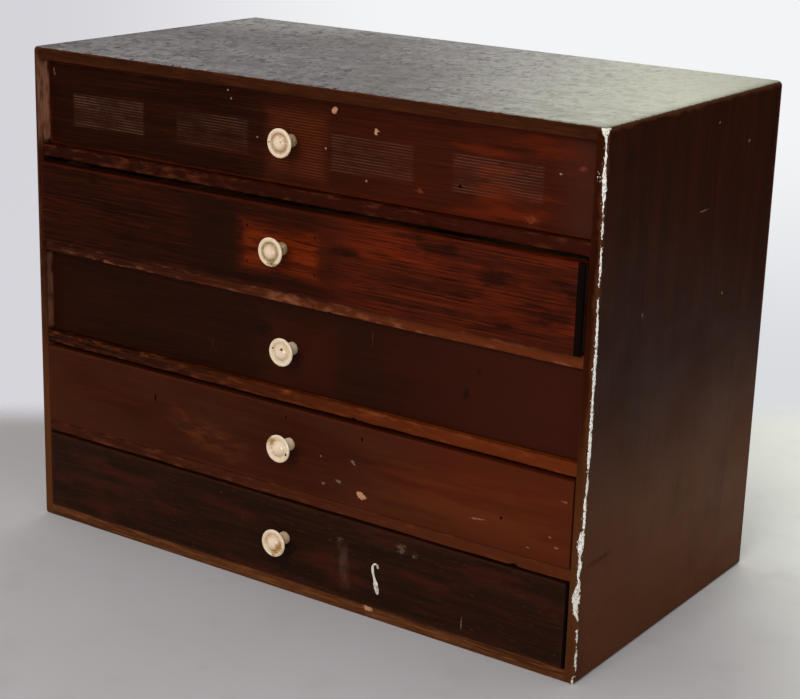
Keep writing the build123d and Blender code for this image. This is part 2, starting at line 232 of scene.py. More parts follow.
class Grain(Enum):
    """The way that a board's grain runs, as how far a streak is drawn out along X, Y and Z."""

    ALONG_X = (1.0, 0.0, 0.0)
    ALONG_Y = (0.0, 1.0, 0.0)
    ALONG_Z = (0.0, 0.0, 1.0)

    def size(self, length: float, width: float) -> tuple[float, float, float]:
        """The size of a streak along X, Y and Z, for its length and width."""
        return tuple(width + (length - width) * share for share in self.value)


@dataclass(frozen=True)
class Sight:
    """The camera's eye, which carries a mark on the case's front plane back to a face behind it.

    The eye is where the photograph was taken from, and left and front are the case's own sides.
    """

    eye: tuple[float, float, float] = (805.6, -1173.2, 595.6)
    left: float = -254.0
    front: float = -135.0

    def place(self, x: float, z: float, face: float) -> tuple[float, float, float]:
        """Carry a point from the front plane along the line of sight to the plane y = face.

        Args:
            x: how far the point lies from the case's left side, in mm.
            z: how far it lies above the base.
            face: the plane's place along Y.

        Returns:
            The point on that plane.
        """
        share = (face - self.front) / (self.front - self.eye[1])
        flat = x + self.left
        return (flat + (flat - self.eye[0]) * share, face, z + (z - self.eye[2]) * share)


SIGHT = Sight()


@dataclass(frozen=True)
class Blot:
    """A place in the frame: its centre, its half sizes along X, Y and Z, and its turn about Y."""

    centre: tuple[float, float, float]
    half: tuple[float, float, float]
    turn: float = 0.0


@dataclass(frozen=True)
class Mark:
    """A place on a drawer's face as the camera sees it, in mm on the plane of the case's front.

    x is from the case's left side and z from its base, wide and tall are the whole size, and turn
    is in degrees.
    """

    x: float
    z: float
    wide: float
    tall: float
    turn: float = 0.0

    def on(self, face: float, depth: float = 4.0) -> Blot:
        """The blot that this mark makes on the plane y = face."""
        half = (self.wide / 2.0, depth, self.tall / 2.0)
        return Blot(SIGHT.place(self.x, self.z, face), half, self.turn)


@dataclass(frozen=True)
class Layer:
    """What a group of marks does to a surface.

    rise is how far it stands above the surface in mm, ragged how torn its border is and soft how
    wide that border is, both in half sizes of a mark.
    """

    colour: str
    amount: float
    roughness: float
    rise: float = 0.0
    ragged: float = 0.5
    soft: float = 0.35


# A chip shows raw pale wood, matt and sunk. A hole is black and deep. A dark blot is old dirt in
# the polish. A scrape is a thin matt line that catches the light. The painted shade that stands
# for a drawer's dark gap is nearly black.
CHIP = Layer("#b07c60", 0.92, 0.75, -0.35, 0.9, 0.3)
HOLE = Layer("#080301", 1.0, 0.9, -1.2, 0.4, 0.25)
DARK_BLOT = Layer("#120602", 0.6, 0.6, 0.0, 0.8, 0.6)
SCRAPE = Layer("#8c7060", 0.45, 0.75, -0.08, 0.9, 0.6)
FRONT_GAP_SHADE = Layer("#070302", 0.96, 0.9, 0.0, 0.0, 0.2)


@dataclass(frozen=True)
class Cloud:
    """A random cloud of one colour that stains a surface.

    size is the size of its features along X, Y and Z in mm, seed says which cloud it is, low and
    high are the levels that it is eased between, and rise is how far it stands up in mm.
    """

    size: tuple[float, float, float]
    seed: float
    low: float
    high: float
    colour: str
    amount: float
    roughness: float | None = None
    rise: float = 0.0


class Surface:
    """A material while it is built: layers change its colour, its roughness and its height in mm."""

    seed_shift: tuple[float, float, float] = (3.71, 1.13, 5.57)
    octaves: float = 3.0
    octave_share: float = 0.55

    def __init__(self, name: str, colour: str, roughness: float) -> None:
        """Start a material.

        Args:
            name: what the material is and how its surface was made.
            colour: its ground colour.
            roughness: its roughness before any layer.
        """
        self.material = bpy.data.materials.new(name)
        self.material.use_nodes = True
        self.material.node_tree.nodes.clear()
        self.add = partial(add_node, self.material.node_tree)
        place = self.add("ShaderNodeTexCoord", out=3)
        self.place = self.add("ShaderNodeVectorMath", place, (MILLIMETRES,) * 3, operation="MULTIPLY")
        self.colour: object = linear(colour)
        self.roughness: object = roughness
        self.height: object = 0.0

    def field(
        self, size: tuple[float, float, float], seed: float, low: float = 0.35, high: float = 0.65
    ) -> Socket:
        """Random cloud, eased from 0 to 1 between two of its levels.

        Args:
            size: the size of its features along X, Y and Z, in mm.
            seed: how far the cloud is moved, so that no two are alike.
            low: the level that gives 0.
            high: the level that gives 1.

        Returns:
            The cloud's value.
        """
        shift = tuple(seed * way for way in self.seed_shift)
        scale = tuple(1.0 / side for side in size)
        moved = self.add("ShaderNodeMapping", self.place, shift, (0.0, 0.0, 0.0), scale)
        cloud = self.add("ShaderNodeTexNoise", moved, 1.0, self.octaves, self.octave_share)
        return self.add("ShaderNodeMapRange", cloud, low, high, interpolation_type="SMOOTHSTEP")

    def lay(
        self,
        mask: Socket,
        colour: str | None = None,
        amount: float = 1.0,
        roughness: float | None = None,
        rise: float = 0.0,
    ) -> None:
        """Lay a layer over the surface, where its mask is above 0.

        Args:
            mask: how strongly the layer shows at each place.
            colour: its colour, or None to keep the one below.
            amount: how much of the colour and the roughness below it covers.
            roughness: its roughness, or None to keep the one below.
            rise: how far it stands up, in mm.
        """
        share = self.add("ShaderNodeMath", mask, amount, operation="MULTIPLY")
        if colour is not None:
            self.colour = self.add(
                "ShaderNodeMix", share, self.colour, linear(colour), data_type="RGBA"
            )
        if roughness is not None:
            self.roughness = self.add("ShaderNodeMix", share, self.roughness, roughness)
        if rise:
            self.height = self.add(
                "ShaderNodeMath", mask, rise, self.height, operation="MULTIPLY_ADD"
            )

    def stain(self, cloud: Cloud, within: Socket | None = None) -> None:
        """Lay a cloud of colour.

        Args:
            cloud: the stain.
            within: the mask that holds it, or None for all over.
        """
        mask = self.field(cloud.size, cloud.seed, cloud.low, cloud.high)
        if within is not None:
            mask = self.both(within, mask)
        self.lay(mask, cloud.colour, cloud.amount, cloud.roughness, cloud.rise)

    def local(self, blot: Blot) -> Socket:
        """Places measured from a blot's centre in its half sizes, so that its border is at 1."""
        turn = (0.0, np.radians(-blot.turn), 0.0)
        return self.add(
            "ShaderNodeMapping", self.place, blot.centre, turn, blot.half, vector_type="TEXTURE"
        )

    def spots(self, blots: list[Blot], layer: Layer, cloud: float = 3.0) -> None:
        """Lay a group of round blots: each fades out where its distance, in half sizes, passes 1.

        Args:
            blots: where they are.
            layer: what they do to the surface.
            cloud: the size of the cloud that makes their borders ragged, in mm.
        """
        ragged = self.field((cloud, cloud, cloud * 0.7), blots[0].centre[0], 0.25, 0.75)
        border = 1.0 + layer.ragged / 2.0
        union: object = 0.0
        for blot in blots:
            away = self.add("ShaderNodeVectorMath", self.local(blot), operation="LENGTH")
            rough = self.add(
                "ShaderNodeMath", ragged, layer.ragged, away, operation="MULTIPLY_ADD"
            )
            inside = self.add(
                "ShaderNodeMapRange",
                rough,
                border,
                border - layer.soft,
                interpolation_type="SMOOTHSTEP",
            )
            union = self.add("ShaderNodeMath", union, inside, operation="MAXIMUM")
        self.lay(union, layer.colour, layer.amount, layer.roughness, layer.rise)

    def zone(self, blot: Blot, soft: float) -> Socket:
        """A box with soft sides.

        Args:
            blot: the box.
            soft: how far past a side it fades out, in half sizes.

        Returns:
            1 inside the box, 0 outside it.
        """
        away = self.add("ShaderNodeVectorMath", self.local(blot), operation="ABSOLUTE")
        most: object = 0.0
        for axis in range(3):
            side = self.add("ShaderNodeSeparateXYZ", away, out=axis)
            most = self.add("ShaderNodeMath", most, side, operation="MAXIMUM")
        return self.add(
            "ShaderNodeMapRange", most, 1.0 + soft, 1.0 - soft, interpolation_type="SMOOTHSTEP"
        )

    def slope(self, way: tuple[float, float, float], start: float, end: float) -> Socket:
        """How far a place lies along a direction, eased from 0 at start to 1 at end, in mm."""
        along = self.add("ShaderNodeVectorMath", self.place, way, operation="DOT_PRODUCT")
        return self.add("ShaderNodeMapRange", along, start, end, interpolation_type="SMOOTHSTEP")

    def both(self, one: Socket, other: Socket) -> Socket:
        """Where two masks are both above 0: their product."""
        return self.add("ShaderNodeMath", one, other, operation="MULTIPLY")

    def arris(self, low: Array, high: Array, width: float, seed: float) -> Socket:
        """Where a box's edges have been rubbed: two of the three distances to its sides are small.

        The rub reaches 1 to 2.2 widths from an edge, as a cloud says, and is full at 0.35 of that.

        Args:
            low: the box's lowest corner, in mm.
            high: its highest corner.
            width: how far the rub reaches from an edge at least.
            seed: which random wander the rub's width follows.

        Returns:
            1 on the edges, 0 away from them.
        """
        centre = tuple(((low + high) / 2.0).tolist())
        half = tuple(((high - low) / 2.0).tolist())
        moved = self.add("ShaderNodeVectorMath", self.place, centre, operation="SUBTRACT")
        away = self.add("ShaderNodeVectorMath", moved, operation="ABSOLUTE")
        gap = self.add("ShaderNodeVectorMath", half, away, operation="SUBTRACT")
        uneven = self.field((14.0, 14.0, 14.0), seed, 0.3, 0.7)
        reach = self.add(
            "ShaderNodeMath", uneven, -0.55 / width, 1.0 / width, operation="MULTIPLY_ADD"
        )
        scaled = self.add("ShaderNodeVectorMath", gap, reach, operation="SCALE")
        near = self.add(
            "ShaderNodeMapRange",
            scaled,
            (1.0, 1.0, 1.0),
            (0.35, 0.35, 0.35),
            (0.0, 0.0, 0.0),
            (1.0, 1.0, 1.0),
            data_type="FLOAT_VECTOR",
            interpolation_type="SMOOTHSTEP",
        )
        total = self.add("ShaderNodeVectorMath", near, (1.0, 1.0, 1.0), operation="DOT_PRODUCT")
        return self.add("ShaderNodeMath", total, 1.0, operation="SUBTRACT", use_clamp=True)

    def finish(self, specular: float = 0.5, metallic: float = 0.0) -> bpy.types.Material:
        """Close the material: the height becomes a bump, and one shader takes all.

        Args:
            specular: how much the surface mirrors, 0.5 for plain polish.
            metallic: 1 for a metal.

        Returns:
            The material.
        """
        bump = self.add(
            "ShaderNodeBump",
            named={"Strength": 1.0, "Distance": 1.0 / MILLIMETRES, "Height": self.height},
        )
        shader = self.add(
            "ShaderNodeBsdfPrincipled",
            named={
                "Base Color": self.colour,
                "Metallic": metallic,
                "Roughness": self.roughness,
                "Specular IOR Level": specular,
                "Normal": bump,
            },
        )
        self.add("ShaderNodeOutputMaterial", shader)
        return self.material


@dataclass(frozen=True)
class WoodFinish:
    """A planed board under old oil, wax or shellac, or bare.

    The broad figure turns ground into dark, fine streaks turn it light, and open pores are dark
    dashes sunk in the surface. figure, streak and fibre are the length and width of those three in
    mm, and amounts is how strongly each shows. Real pores are about 0.2 mm wide at most, and are
    drawn at 0.5 mm or more, so that they show. Old polish mirrors little, so specular is low.
    """

    name: str
    grain: Grain
    ground: str
    dark: str
    light: str
    pore: str
    figure: tuple[float, float] = (190.0, 11.0)
    streak: tuple[float, float] = (70.0, 1.7)
    fibre: tuple[float, float] = (11.0, 0.5)
    amounts: tuple[float, float, float] = (0.7, 0.5, 0.7)
    roughness: float = 0.45
    worn_roughness: float = 0.6
    specular: float = 0.045

    def start(self, seed: float) -> Surface:
        """Lay the grain, and leave the surface open for marks and wear.

        Args:
            seed: which board of this kind it is.

        Returns:
            The open surface.
        """
        surface = Surface(self.name, self.ground, self.roughness)
        for size, shift, low, high, colour, amount, rise in (
            (self.figure, 0.0, 0.36, 0.62, self.dark, self.amounts[0], 0.0),
            (self.streak, 3.0, 0.46, 0.7, self.light, self.amounts[1], 0.012),
            (self.fibre, 7.0, 0.56, 0.7, self.pore, self.amounts[2], -0.035),
        ):
            grained = self.grain.size(*size)
            surface.stain(Cloud(grained, seed + shift, low, high, colour, amount, rise=rise))
        handled = surface.field((55.0, 55.0, 38.0), seed + 11.0, 0.35, 0.7)
        surface.lay(handled, None, 1.0, self.worn_roughness)
        return surface

    def make(self, seed: float) -> bpy.types.Material:
        """Finish a board that has no marks of its own."""
        return self.start(seed).finish(self.specular)


# Mahogany under old brown shellac, brushed on and rubbed since: red where light gets through the
# film, nearly black along the grain, with a dull gloss. No two drawers are the same colour.
FRONT_FINISHES = (
    WoodFinish(
        "front_1_old_shellac_on_mahogany",
        Grain.ALONG_X,
        ground="#280b01",
        dark="#170500",
        light="#4a1906",
        pore="#0c0200",
        figure=(170.0, 9.0),
        streak=(90.0, 1.1),
        fibre=(16.0, 0.7),
        amounts=(0.75, 0.4, 0.75),
    ),
    WoodFinish(
        "front_2_old_shellac_on_mahogany",
        Grain.ALONG_X,
        ground="#260a01",
        dark="#160400",
        light="#3f1304",
        pore="#0c0200",
        figure=(110.0, 12.0),
        streak=(90.0, 1.2),
        fibre=(18.0, 0.8),
        amounts=(0.7, 0.6, 0.8),
    ),
    WoodFinish(
        "front_3_old_shellac_on_mahogany",
        Grain.ALONG_X,
        ground="#220a02",
        dark="#170600",
        light="#301004",
        pore="#0f0300",
        figure=(120.0, 16.0),
        amounts=(0.5, 0.35, 0.4),
    ),
    WoodFinish(
        "front_4_old_shellac_on_mahogany",
        Grain.ALONG_X,
        ground="#361205",
        dark="#280c03",
        light="#461b09",
        pore="#1c0802",
        figure=(150.0, 15.0),
        amounts=(0.5, 0.35, 0.45),
    ),
    WoodFinish(
        "front_5_old_shellac_on_mahogany",
        Grain.ALONG_X,
        ground="#241007",
        dark="#170903",
        light="#34180c",
        pore="#0d0402",
        figure=(90.0, 9.0),
        streak=(35.0, 1.6),
        amounts=(0.6, 0.45, 0.6),
    ),
)

# Mahogany rubbed with dark wax: upright soft figure in deep red-brown, with a low sheen.
SIDE_FINISH = WoodFinish(
    "case_waxed_mahogany",
    Grain.ALONG_Z,
    ground="#2b0d02",
    dark="#1e0801",
    light="#381404",
    pore="#140500",
    figure=(150.0, 13.0),
    amounts=(0.6, 0.4, 0.5),
    roughness=0.32,
    worn_roughness=0.45,
    specular=0.02,
)

# Mahogany whose polish has dried out: brown at its edge, and matt under the dust laid over it.
TOP_FINISH = WoodFinish(
    "top_dry_mahogany",
    Grain.ALONG_X,
    ground="#351605",
    dark="#210c02",
    light="#4a220a",
    pore="#150600",
    streak=(30.0, 1.6),
    roughness=0.4,
    worn_roughness=0.55,
)

# The same wood where hands and tables rubbed it: a lighter, yellower brown.
BOTTOM_FINISH = replace(
    TOP_FINISH,
    name="bottom_rubbed_mahogany",
    ground="#4f2a13",
    dark="#33170a",
    light="#7a4a28",
)

# Mahogany that the drawers have rubbed: short orange-brown streaks between dark ones.
RAIL_FINISH = WoodFinish(
    "rail_worn_mahogany",
    Grain.ALONG_X,
    ground="#42190a",
    dark="#1c0602",
    light="#5e2810",
    pore="#120401",
    figure=(60.0, 4.0),
    streak=(40.0, 1.0),
    amounts=(0.4, 0.5, 0.5),
)

# Pine polished by the drawers' sides: yellow-brown with a slight shine.
RUNNER_FINISH = WoodFinish(
    "runner_rubbed_pine",
    Grain.ALONG_Y,
    ground="#6b4a2c",
    dark="#4c331d",
    light="#8a6440",
    pore="#33210f",
    roughness=0.55,
    specular=0.3,
)

# Sawn pine, never finished and dark with age: grey-brown, matt, in long broad stripes.
BACK_FINISH = WoodFinish(
    "back_bare_dark_pine",
    Grain.ALONG_X,
    ground="#4a3524",
    dark="#35251a",
    light="#5e4631",
    pore="#20150d",
    figure=(300.0, 9.0),
    streak=(160.0, 2.2),
    fibre=(24.0, 0.9),
    amounts=(0.6, 0.5, 0.6),
    roughness=0.75,
    worn_roughness=0.85,
    specular=0.3,
)

# Planed pine, kept from the light inside the case: pale yellow-brown and matt.
BOX_FINISH = WoodFinish(
    "drawer_box_bare_pine",
    Grain.ALONG_Y,
    ground="#8a6a47",
    dark="#6b4f33",
    light="#a5835c",
    pore="#4d3822",
    figure=(170.0, 9.0),
    roughness=0.7,
    worn_roughness=0.8,
    specular=0.3,
)

# Planed beech slips: a little paler than the pine, and as matt.
DIVIDER_FINISH = WoodFinish(
    "divider_bare_beech",
    Grain.ALONG_X,
    ground="#94714d",
    dark="#7a5a3a",
    light="#ab8860",
    pore="#553d26",
    roughness=0.7,
    worn_roughness=0.8,
    specular=0.3,
)


@dataclass(frozen=True)
class MetalFinish:
    """Drawn iron or steel, rusted in clouds: a grey gleam that turns brown and matt in the rust."""

    name: str
    colour: str
    rust: str
    roughness: float

    def make(self) -> bpy.types.Material:
        """Finish a pin or a screw."""
        surface = Surface(self.name, self.colour, self.roughness)
        surface.stain(Cloud((1.2, 1.2, 1.2), 4.0, 0.45, 0.62, self.rust, 0.8, 0.75, 0.02))
        return surface.finish(metallic=1.0)


PIN_FINISH = MetalFinish("pin_dark_iron", "#4a4643", "#3a2418", 0.5)
SCREW_FINISH = MetalFinish("screw_steel", "#8f8a84", "#6b4a30", 0.35)


@dataclass(frozen=True)
class PaintFinish:
    """Old brushed oil paint gone chalky: matt white, yellowed, and dirty where it is pitted.

    yellowed clouds it all over, soiled darkens its foot and dirt fills its pits.
    """

    name: str = "chalky_white_paint"
    colour: str = "#e9e6e0"
    yellowed: str = "#d8cfba"
    soiled: str = "#b9b2a4"
    dirt: str = "#5c4c3c"
    specular: float = 0.3

    def make(self) -> bpy.types.Material:
        """Finish the paint, dirtier from 150 mm above the base down to 60 mm.

        Returns:
            The paint's material.
        """
        surface = Surface(self.name, self.colour, 0.8)
        surface.stain(Cloud((5.0, 5.0, 9.0), 3.0, 0.4, 0.7, self.yellowed, 0.7))
        surface.lay(surface.slope((0.0, 0.0, 1.0), 150.0, 60.0), self.soiled, 0.6)
        surface.stain(Cloud((1.2, 1.2, 1.4), 9.0, 0.52, 0.66, self.dirt, 0.75, rise=-0.12))
        return surface.finish(self.specular)


@dataclass(frozen=True)
class BoneFinish:
    """Turned and polished bone: warm cream with a gloss, and dirt held where the turning dips.

    stain is the dirt's colour and held how much of it there is. blots are stains on the face and
    dots its black pits, both placed from the middle of the face. mellow clouds the bone's own
    colour, and fleck is that of its pores.
    """

    stain: str = "#8c6632"
    held: float = 0.8
    blots: tuple[Blot, ...] = ()
    dots: tuple[Blot, ...] = ()
    colour: str = "#dcc8b0"
    mellow: str = "#d6b88f"
    fleck: str = "#a8834f"
    pit: str = "#1c120a"

    def make(self, name: str, seed: float, tip: tuple[float, float, float]) -> bpy.types.Material:
        """Finish a knob.

        Args:
            name: the material's name.
            seed: which piece of bone it is.
            tip: the middle of its face, in mm.

        Returns:
            The material.
        """
        surface = Surface(name, self.colour, 0.2)
        surface.stain(Cloud((6.0, 6.0, 6.0), seed, 0.35, 0.7, self.mellow, 0.6))
        surface.stain(Cloud((0.9, 3.0, 0.9), seed + 2.0, 0.6, 0.72, self.fleck, 0.45, rise=-0.02))
        dirt = surface.add("ShaderNodeAttribute", out=2, attribute_name="dirt")
        lodged = Cloud((2.6, 2.6, 2.6), seed + 5.0, 0.1, 0.55, self.stain, self.held, 0.55)
        surface.stain(lodged, dirt)
        for blots, layer in (
            (self.blots, Layer(self.stain, 0.9, 0.5, 0.0, 0.9, 0.6)),
            (self.dots, Layer(self.pit, 0.95, 0.8, -0.3, 0.3, 0.3)),
        ):
            placed = [
                Blot(tuple(a + b for a, b in zip(tip, blot.centre)), blot.half) for blot in blots
            ]
            if placed:
                surface.spots(placed, layer, 1.5)
        return surface.finish()


@dataclass(frozen=True)
class KnobShape:
    """The turned knob: foot, waist, rolled rim, a stained cove in its face and a dome inside it.

    Heights are from the drawer's face, and the foot goes sunk mm below it.
    """

    foot_radius: float = 4.9
    foot_height: float = 1.3
    sunk: float = 0.3
    neck_radius: float = 3.4
    neck_height: float = 5.3
    flare: float = 2.4
    lip: float = 0.5
    radius: float = 10.7
    rim_back: float = 12.7
    rim_front: float = 14.9
    rim_start: float = -0.35
    rim_drop: float = 0.15
    cove_outer: float = 7.7
    cove_floor: float = 13.6
    dome_radius: float = 5.6
    dome_edge: float = 14.5
    projection: float = 16.5
    sides: int = 96

    def profile(self) -> tuple[Array, Array]:
        """Radius and height of the knob from its foot to its tip, and the dirt held along it.

        The waist is a half cosine from foot to neck, the flare a power of the way to the rim, the
        rim half an ellipse, the cove half a sine below its two borders, and the dome falls off
        with the square of the radius, more steeply at its border.

        Returns:
            Points as radius and height, and for each how much dirt it holds, from 0 to 1.
        """
        t = np.linspace(0.0, 1.0, 17)
        ease = (1.0 - np.cos(np.pi * t)) / 2.0
        foot_heights = np.linspace(-self.sunk, self.foot_height, 4)
        foot = np.stack([np.full(4, self.foot_radius), foot_heights], 1)
        waist = np.stack(
            [
                self.foot_radius + (self.neck_radius - self.foot_radius) * ease,
                self.foot_height + (self.neck_height - self.foot_height) * t,
            ],
            1,
        )
        under = self.radius - self.lip
        flare = np.stack(
            [
                self.neck_radius + (under - self.neck_radius) * t**self.flare,
                self.neck_height + (self.rim_back - self.neck_height) * np.sin(np.pi / 2.0 * t),
            ],
            1,
        )
        angle = np.linspace(self.rim_start * np.pi, np.pi, 30)
        inner = np.cos(angle) < 0.0
        roll = (self.radius - self.cove_outer) / 2.0
        half = (self.rim_front - self.rim_back) / 2.0
        rim = np.stack(
            [
                self.radius - roll + roll * np.cos(angle),
                self.rim_front - half + half * np.sin(angle) - self.rim_drop * inner,
            ],
            1,
        )
        rim[:, 1] = np.maximum(rim[:, 1], np.where(inner, self.dome_edge - 0.1, 0.0))
        width = self.cove_outer - self.dome_radius
        cove = np.stack(
            [
                self.cove_outer - width * t,
                self.dome_edge - (self.dome_edge - self.cove_floor) * np.sin(np.pi * t),
            ],
            1,
        )
        d = np.linspace(1.0, 0.01, 20)
        dome = np.stack(
            [
                self.dome_radius * d,
                self.projection - (self.projection - self.dome_edge) * (0.6 * d**2 + 0.4 * d**5),
            ],
            1,
        )
        points = np.concatenate([foot, waist[1:], flare[1:-1], rim, cove[1:-1], dome])
        dirt = np.concatenate(
            [
                np.ones(4),
                1.0 - 0.1 * t[1:],
                0.9 - 0.4 * t[1:-1],
                0.04 + 0.6 * np.clip(-np.cos(angle), 0.0, 1.0) ** 3 + 0.3 * (angle < -0.5),
                0.7 + 0.3 * np.sin(np.pi * t[1:-1]) ** 2,
                0.75 * d**3,
            ]
        )
        return points, dirt

    def build(self, name: str, x: float, y: float, z: float) -> bpy.types.Object:
        """Turn the knob about an axis along Y, its tip to -Y.

        Args:
            name: the object's name.
            x: where the axis lies across.
            y: the plane that its foot stands on.
            z: the axis's height.

        Returns:
            The knob, with the dirt that each point holds.
        """
        points, dirt = self.profile()
        points = points * np.array([1.0, -1.0])
        rings = turn_rings(points, (x, y, z), self.sides)
        return make_object(name, rings, ("dirt", np.repeat(dirt[:, None], self.sides, axis=1)))


def assign(thing: bpy.types.Object, material: bpy.types.Material) -> None:
    """Give an object one material in place of those it has.

    Args:
        thing: the object.
        material: its new finish.
    """
    if not thing.material_slots:
        thing.data.materials.append(material)
    for slot in thing.material_slots:
        slot.material = material


def place_on(thing: bpy.types.Object, body: str, material: bpy.types.Material) -> None:
    """Finish a new piece, and let it ride on a body.

    Args:
        thing: the new piece.
        body: the CAD body that it moves with.
        material: its finish.
    """
    assign(thing, material)
    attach(thing, body)
    log.info("%s: %d faces on %s", thing.name, len(thing.data.polygons), body)


@dataclass(frozen=True)
class Rail:
    """A drawer rail whose front edge has been worn round and chipped by the drawers.

    ground and right are the wood's colour at its left and right end, and rubbed that of its worn
    edges. A chip is the place, width and depth of a bite, from the lower edge where the depth is
    below 0. A scuff is the middle and half length of a rubbed patch. The section is drawn at each
    step as far as reach on both sides, its front edges have a radius between least_round and
    most_round and its back edges back_round, dent is its deepest hollow, and wear_depth how far
    behind the front the wear ends.
    """

    number: int
    seed: int
    ground: str
    right: str
    rubbed: str
    chips: tuple[tuple[float, float, float], ...]
    scuffs: tuple[tuple[float, float], ...] = ()
    step: float = 0.8
    reach: float = 246.3
    least_round: float = 0.7
    most_round: float = 2.3
    back_round: float = 0.8
    dent: float = 0.5
    wear_depth: float = 3.0

    @property
    def middle(self) -> float:
        """The height of the rail's middle."""
        low, high = box_mm(f"rail_{self.number}")
        return float((low[2] + high[2]) / 2.0)

    def shape(self) -> bpy.types.Object:
        """Carry a rectangle with round corners along X.

        A corner's point is (half size - radius) + radius (cos a, sin a), with a radius that
        wanders along the rail. The front's columns sink by a wandering dent, and each chip takes a
        bite of the upper or lower front edge, as deep as a bell curve of the distance from it.

        Returns:
            The rail, with how worn each point is.
        """
        low, high = box_mm(f"rail_{self.number}")
        x = np.arange(-self.reach, self.reach + self.step / 2.0, self.step)[:, None]
        flat = x[:, 0]
        spread = self.most_round - self.least_round
        coarse = wander(flat, 23.0, self.seed)
        fine = wander(flat, 5.0, self.seed + 1)
        upper = self.least_round + spread * coarse * fine
        lower = self.least_round + 0.6 * spread * wander(flat, 17.0, self.seed + 2)
        back = np.full_like(flat, self.back_round)
        arc = np.linspace(0.0, np.pi / 2.0, 7)
        middle = (low + high) / 2.0
        half = (high - low) / 2.0
        parts = []
        for radius, turn, side_y, side_z in (
            (upper, np.pi / 2.0, -1.0, 1.0),
            (lower, np.pi, -1.0, -1.0),
            (back, 1.5 * np.pi, 1.0, -1.0),
            (back, 0.0, 1.0, 1.0),
        ):
            r = radius[:, None]
            y = middle[1] + side_y * (half[1] - r) + r * np.cos(arc + turn)
            z = middle[2] + side_z * (half[2] - r) + r * np.sin(arc + turn)
            parts.append(np.stack([y, z], axis=-1))
            if side_y < 0.0 < side_z:
                share = np.linspace(0.0, 1.0, 9)[1:-1][None, :, None]
                end = np.stack([low[1] + 0.0 * flat, low[2] + lower], axis=-1)[:, None, :]
                parts.append(parts[0][:, -1:, :] * (1.0 - share) + end * share)
        section = np.concatenate(parts, axis=1)
        y, z = section[..., 0], section[..., 1]
        front = np.clip(1.0 - (y - low[1]) / self.wear_depth, 0.0, 1.0)
        level = (z - low[2]) / (high[2] - low[2])
        wave = patchy(x + 0.0 * z, z, (9.0, 2.6), self.seed + 3)
        y = y + self.dent * front * wave
        for place, width, depth in self.chips:
            bell = np.exp(-(((x - place) / width) ** 2) * 2.0)
            edge = level**3 if depth > 0.0 else (1.0 - level) ** 3
            bite = abs(depth) * bell * edge * front * (0.6 + 0.8 * wave)
            y = y + bite
            z = z - np.sign(depth) * bite * 0.6
        rings = np.stack([x + 0.0 * y, y, z], axis=-1)
        worn = front * np.clip(1.6 * np.abs(level - 0.5) + 0.5 * (wave - 0.5), 0.0, 1.0)
        return make_object(f"rail_{self.number}_worn", rings, ("worn", worn))

    def build(self) -> None:
        """Finish the rail in mahogany that turns lighter to the right and is rubbed at its edges."""
        named = replace(
            RAIL_FINISH,
            name=f"rail_{self.number}_worn_mahogany",
            ground=self.ground,
            light=self.right,
        )
        surface = named.start(61.0 + 9.0 * self.number)
        surface.lay(surface.slope((1.0, 0.0, 0.0), -200.0, 220.0), self.right, 0.85)
        worn = surface.add("ShaderNodeAttribute", out=2, attribute_name="worn")
        broken = surface.field((14.0, 4.0, 4.0), 66.0 + self.number, 0.5, 0.66)
        surface.lay(surface.both(worn, broken), self.rubbed, 0.6, 0.55, -0.06)
        for place, half in self.scuffs:
            blot = Blot((place, SIGHT.front, self.middle), (half, 5.0, 8.0))
            patch = Cloud((13.0, 4.0, 6.0), place, 0.42, 0.72, self.rubbed, 0.5, 0.6)
            surface.stain(patch, surface.zone(blot, 0.6))
        made = self.shape()
        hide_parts(f"rail_{self.number}")
        place_on(made, "case", surface.finish(named.specular))


RAILS = (
    Rail(
        number=1,
        seed=11,
        ground="#240802",
        right="#300b02",
        rubbed="#5e2b13",
        chips=(
            (-160.0, 5.0, 1.6),
            (-128.0, 9.0, 1.4),
            (-95.0, 7.0, 1.6),
            (-60.0, 4.0, 1.2),
            (-10.0, 9.0, 1.8),
            (30.0, 8.0, 1.5),
            (72.0, 8.0, 1.7),
            (120.0, 5.0, -1.2),
            (190.0, 6.0, 1.5),
        ),
        scuffs=((-125.0, 60.0),),
    ),
    Rail(
        number=2,
        seed=23,
        ground="#2c0f05",
        right="#5e280e",
        rubbed="#96583a",
        chips=((11.0, 4.0, 1.6), (37.0, 2.0, -1.2), (81.0, 2.5, 1.4), (-120.0, 6.0, 1.2)),
        scuffs=((18.0, 38.0),),
    ),
    Rail(
        number=3,
        seed=37,
        ground="#1c0802",
        right="#5c2408",
        rubbed="#7a3c1a",
        chips=((-190.0, 5.0, 1.0), (150.0, 5.0, 1.3), (60.0, 3.0, -1.0)),
    ),
    Rail(
        number=4,
        seed=53,
        ground="#381608",
        right="#4c200c",
        rubbed="#6b361a",
        chips=((-90.0, 6.0, 1.2), (40.0, 5.0, 1.0), (200.0, 4.0, -1.2)),
    ),
)


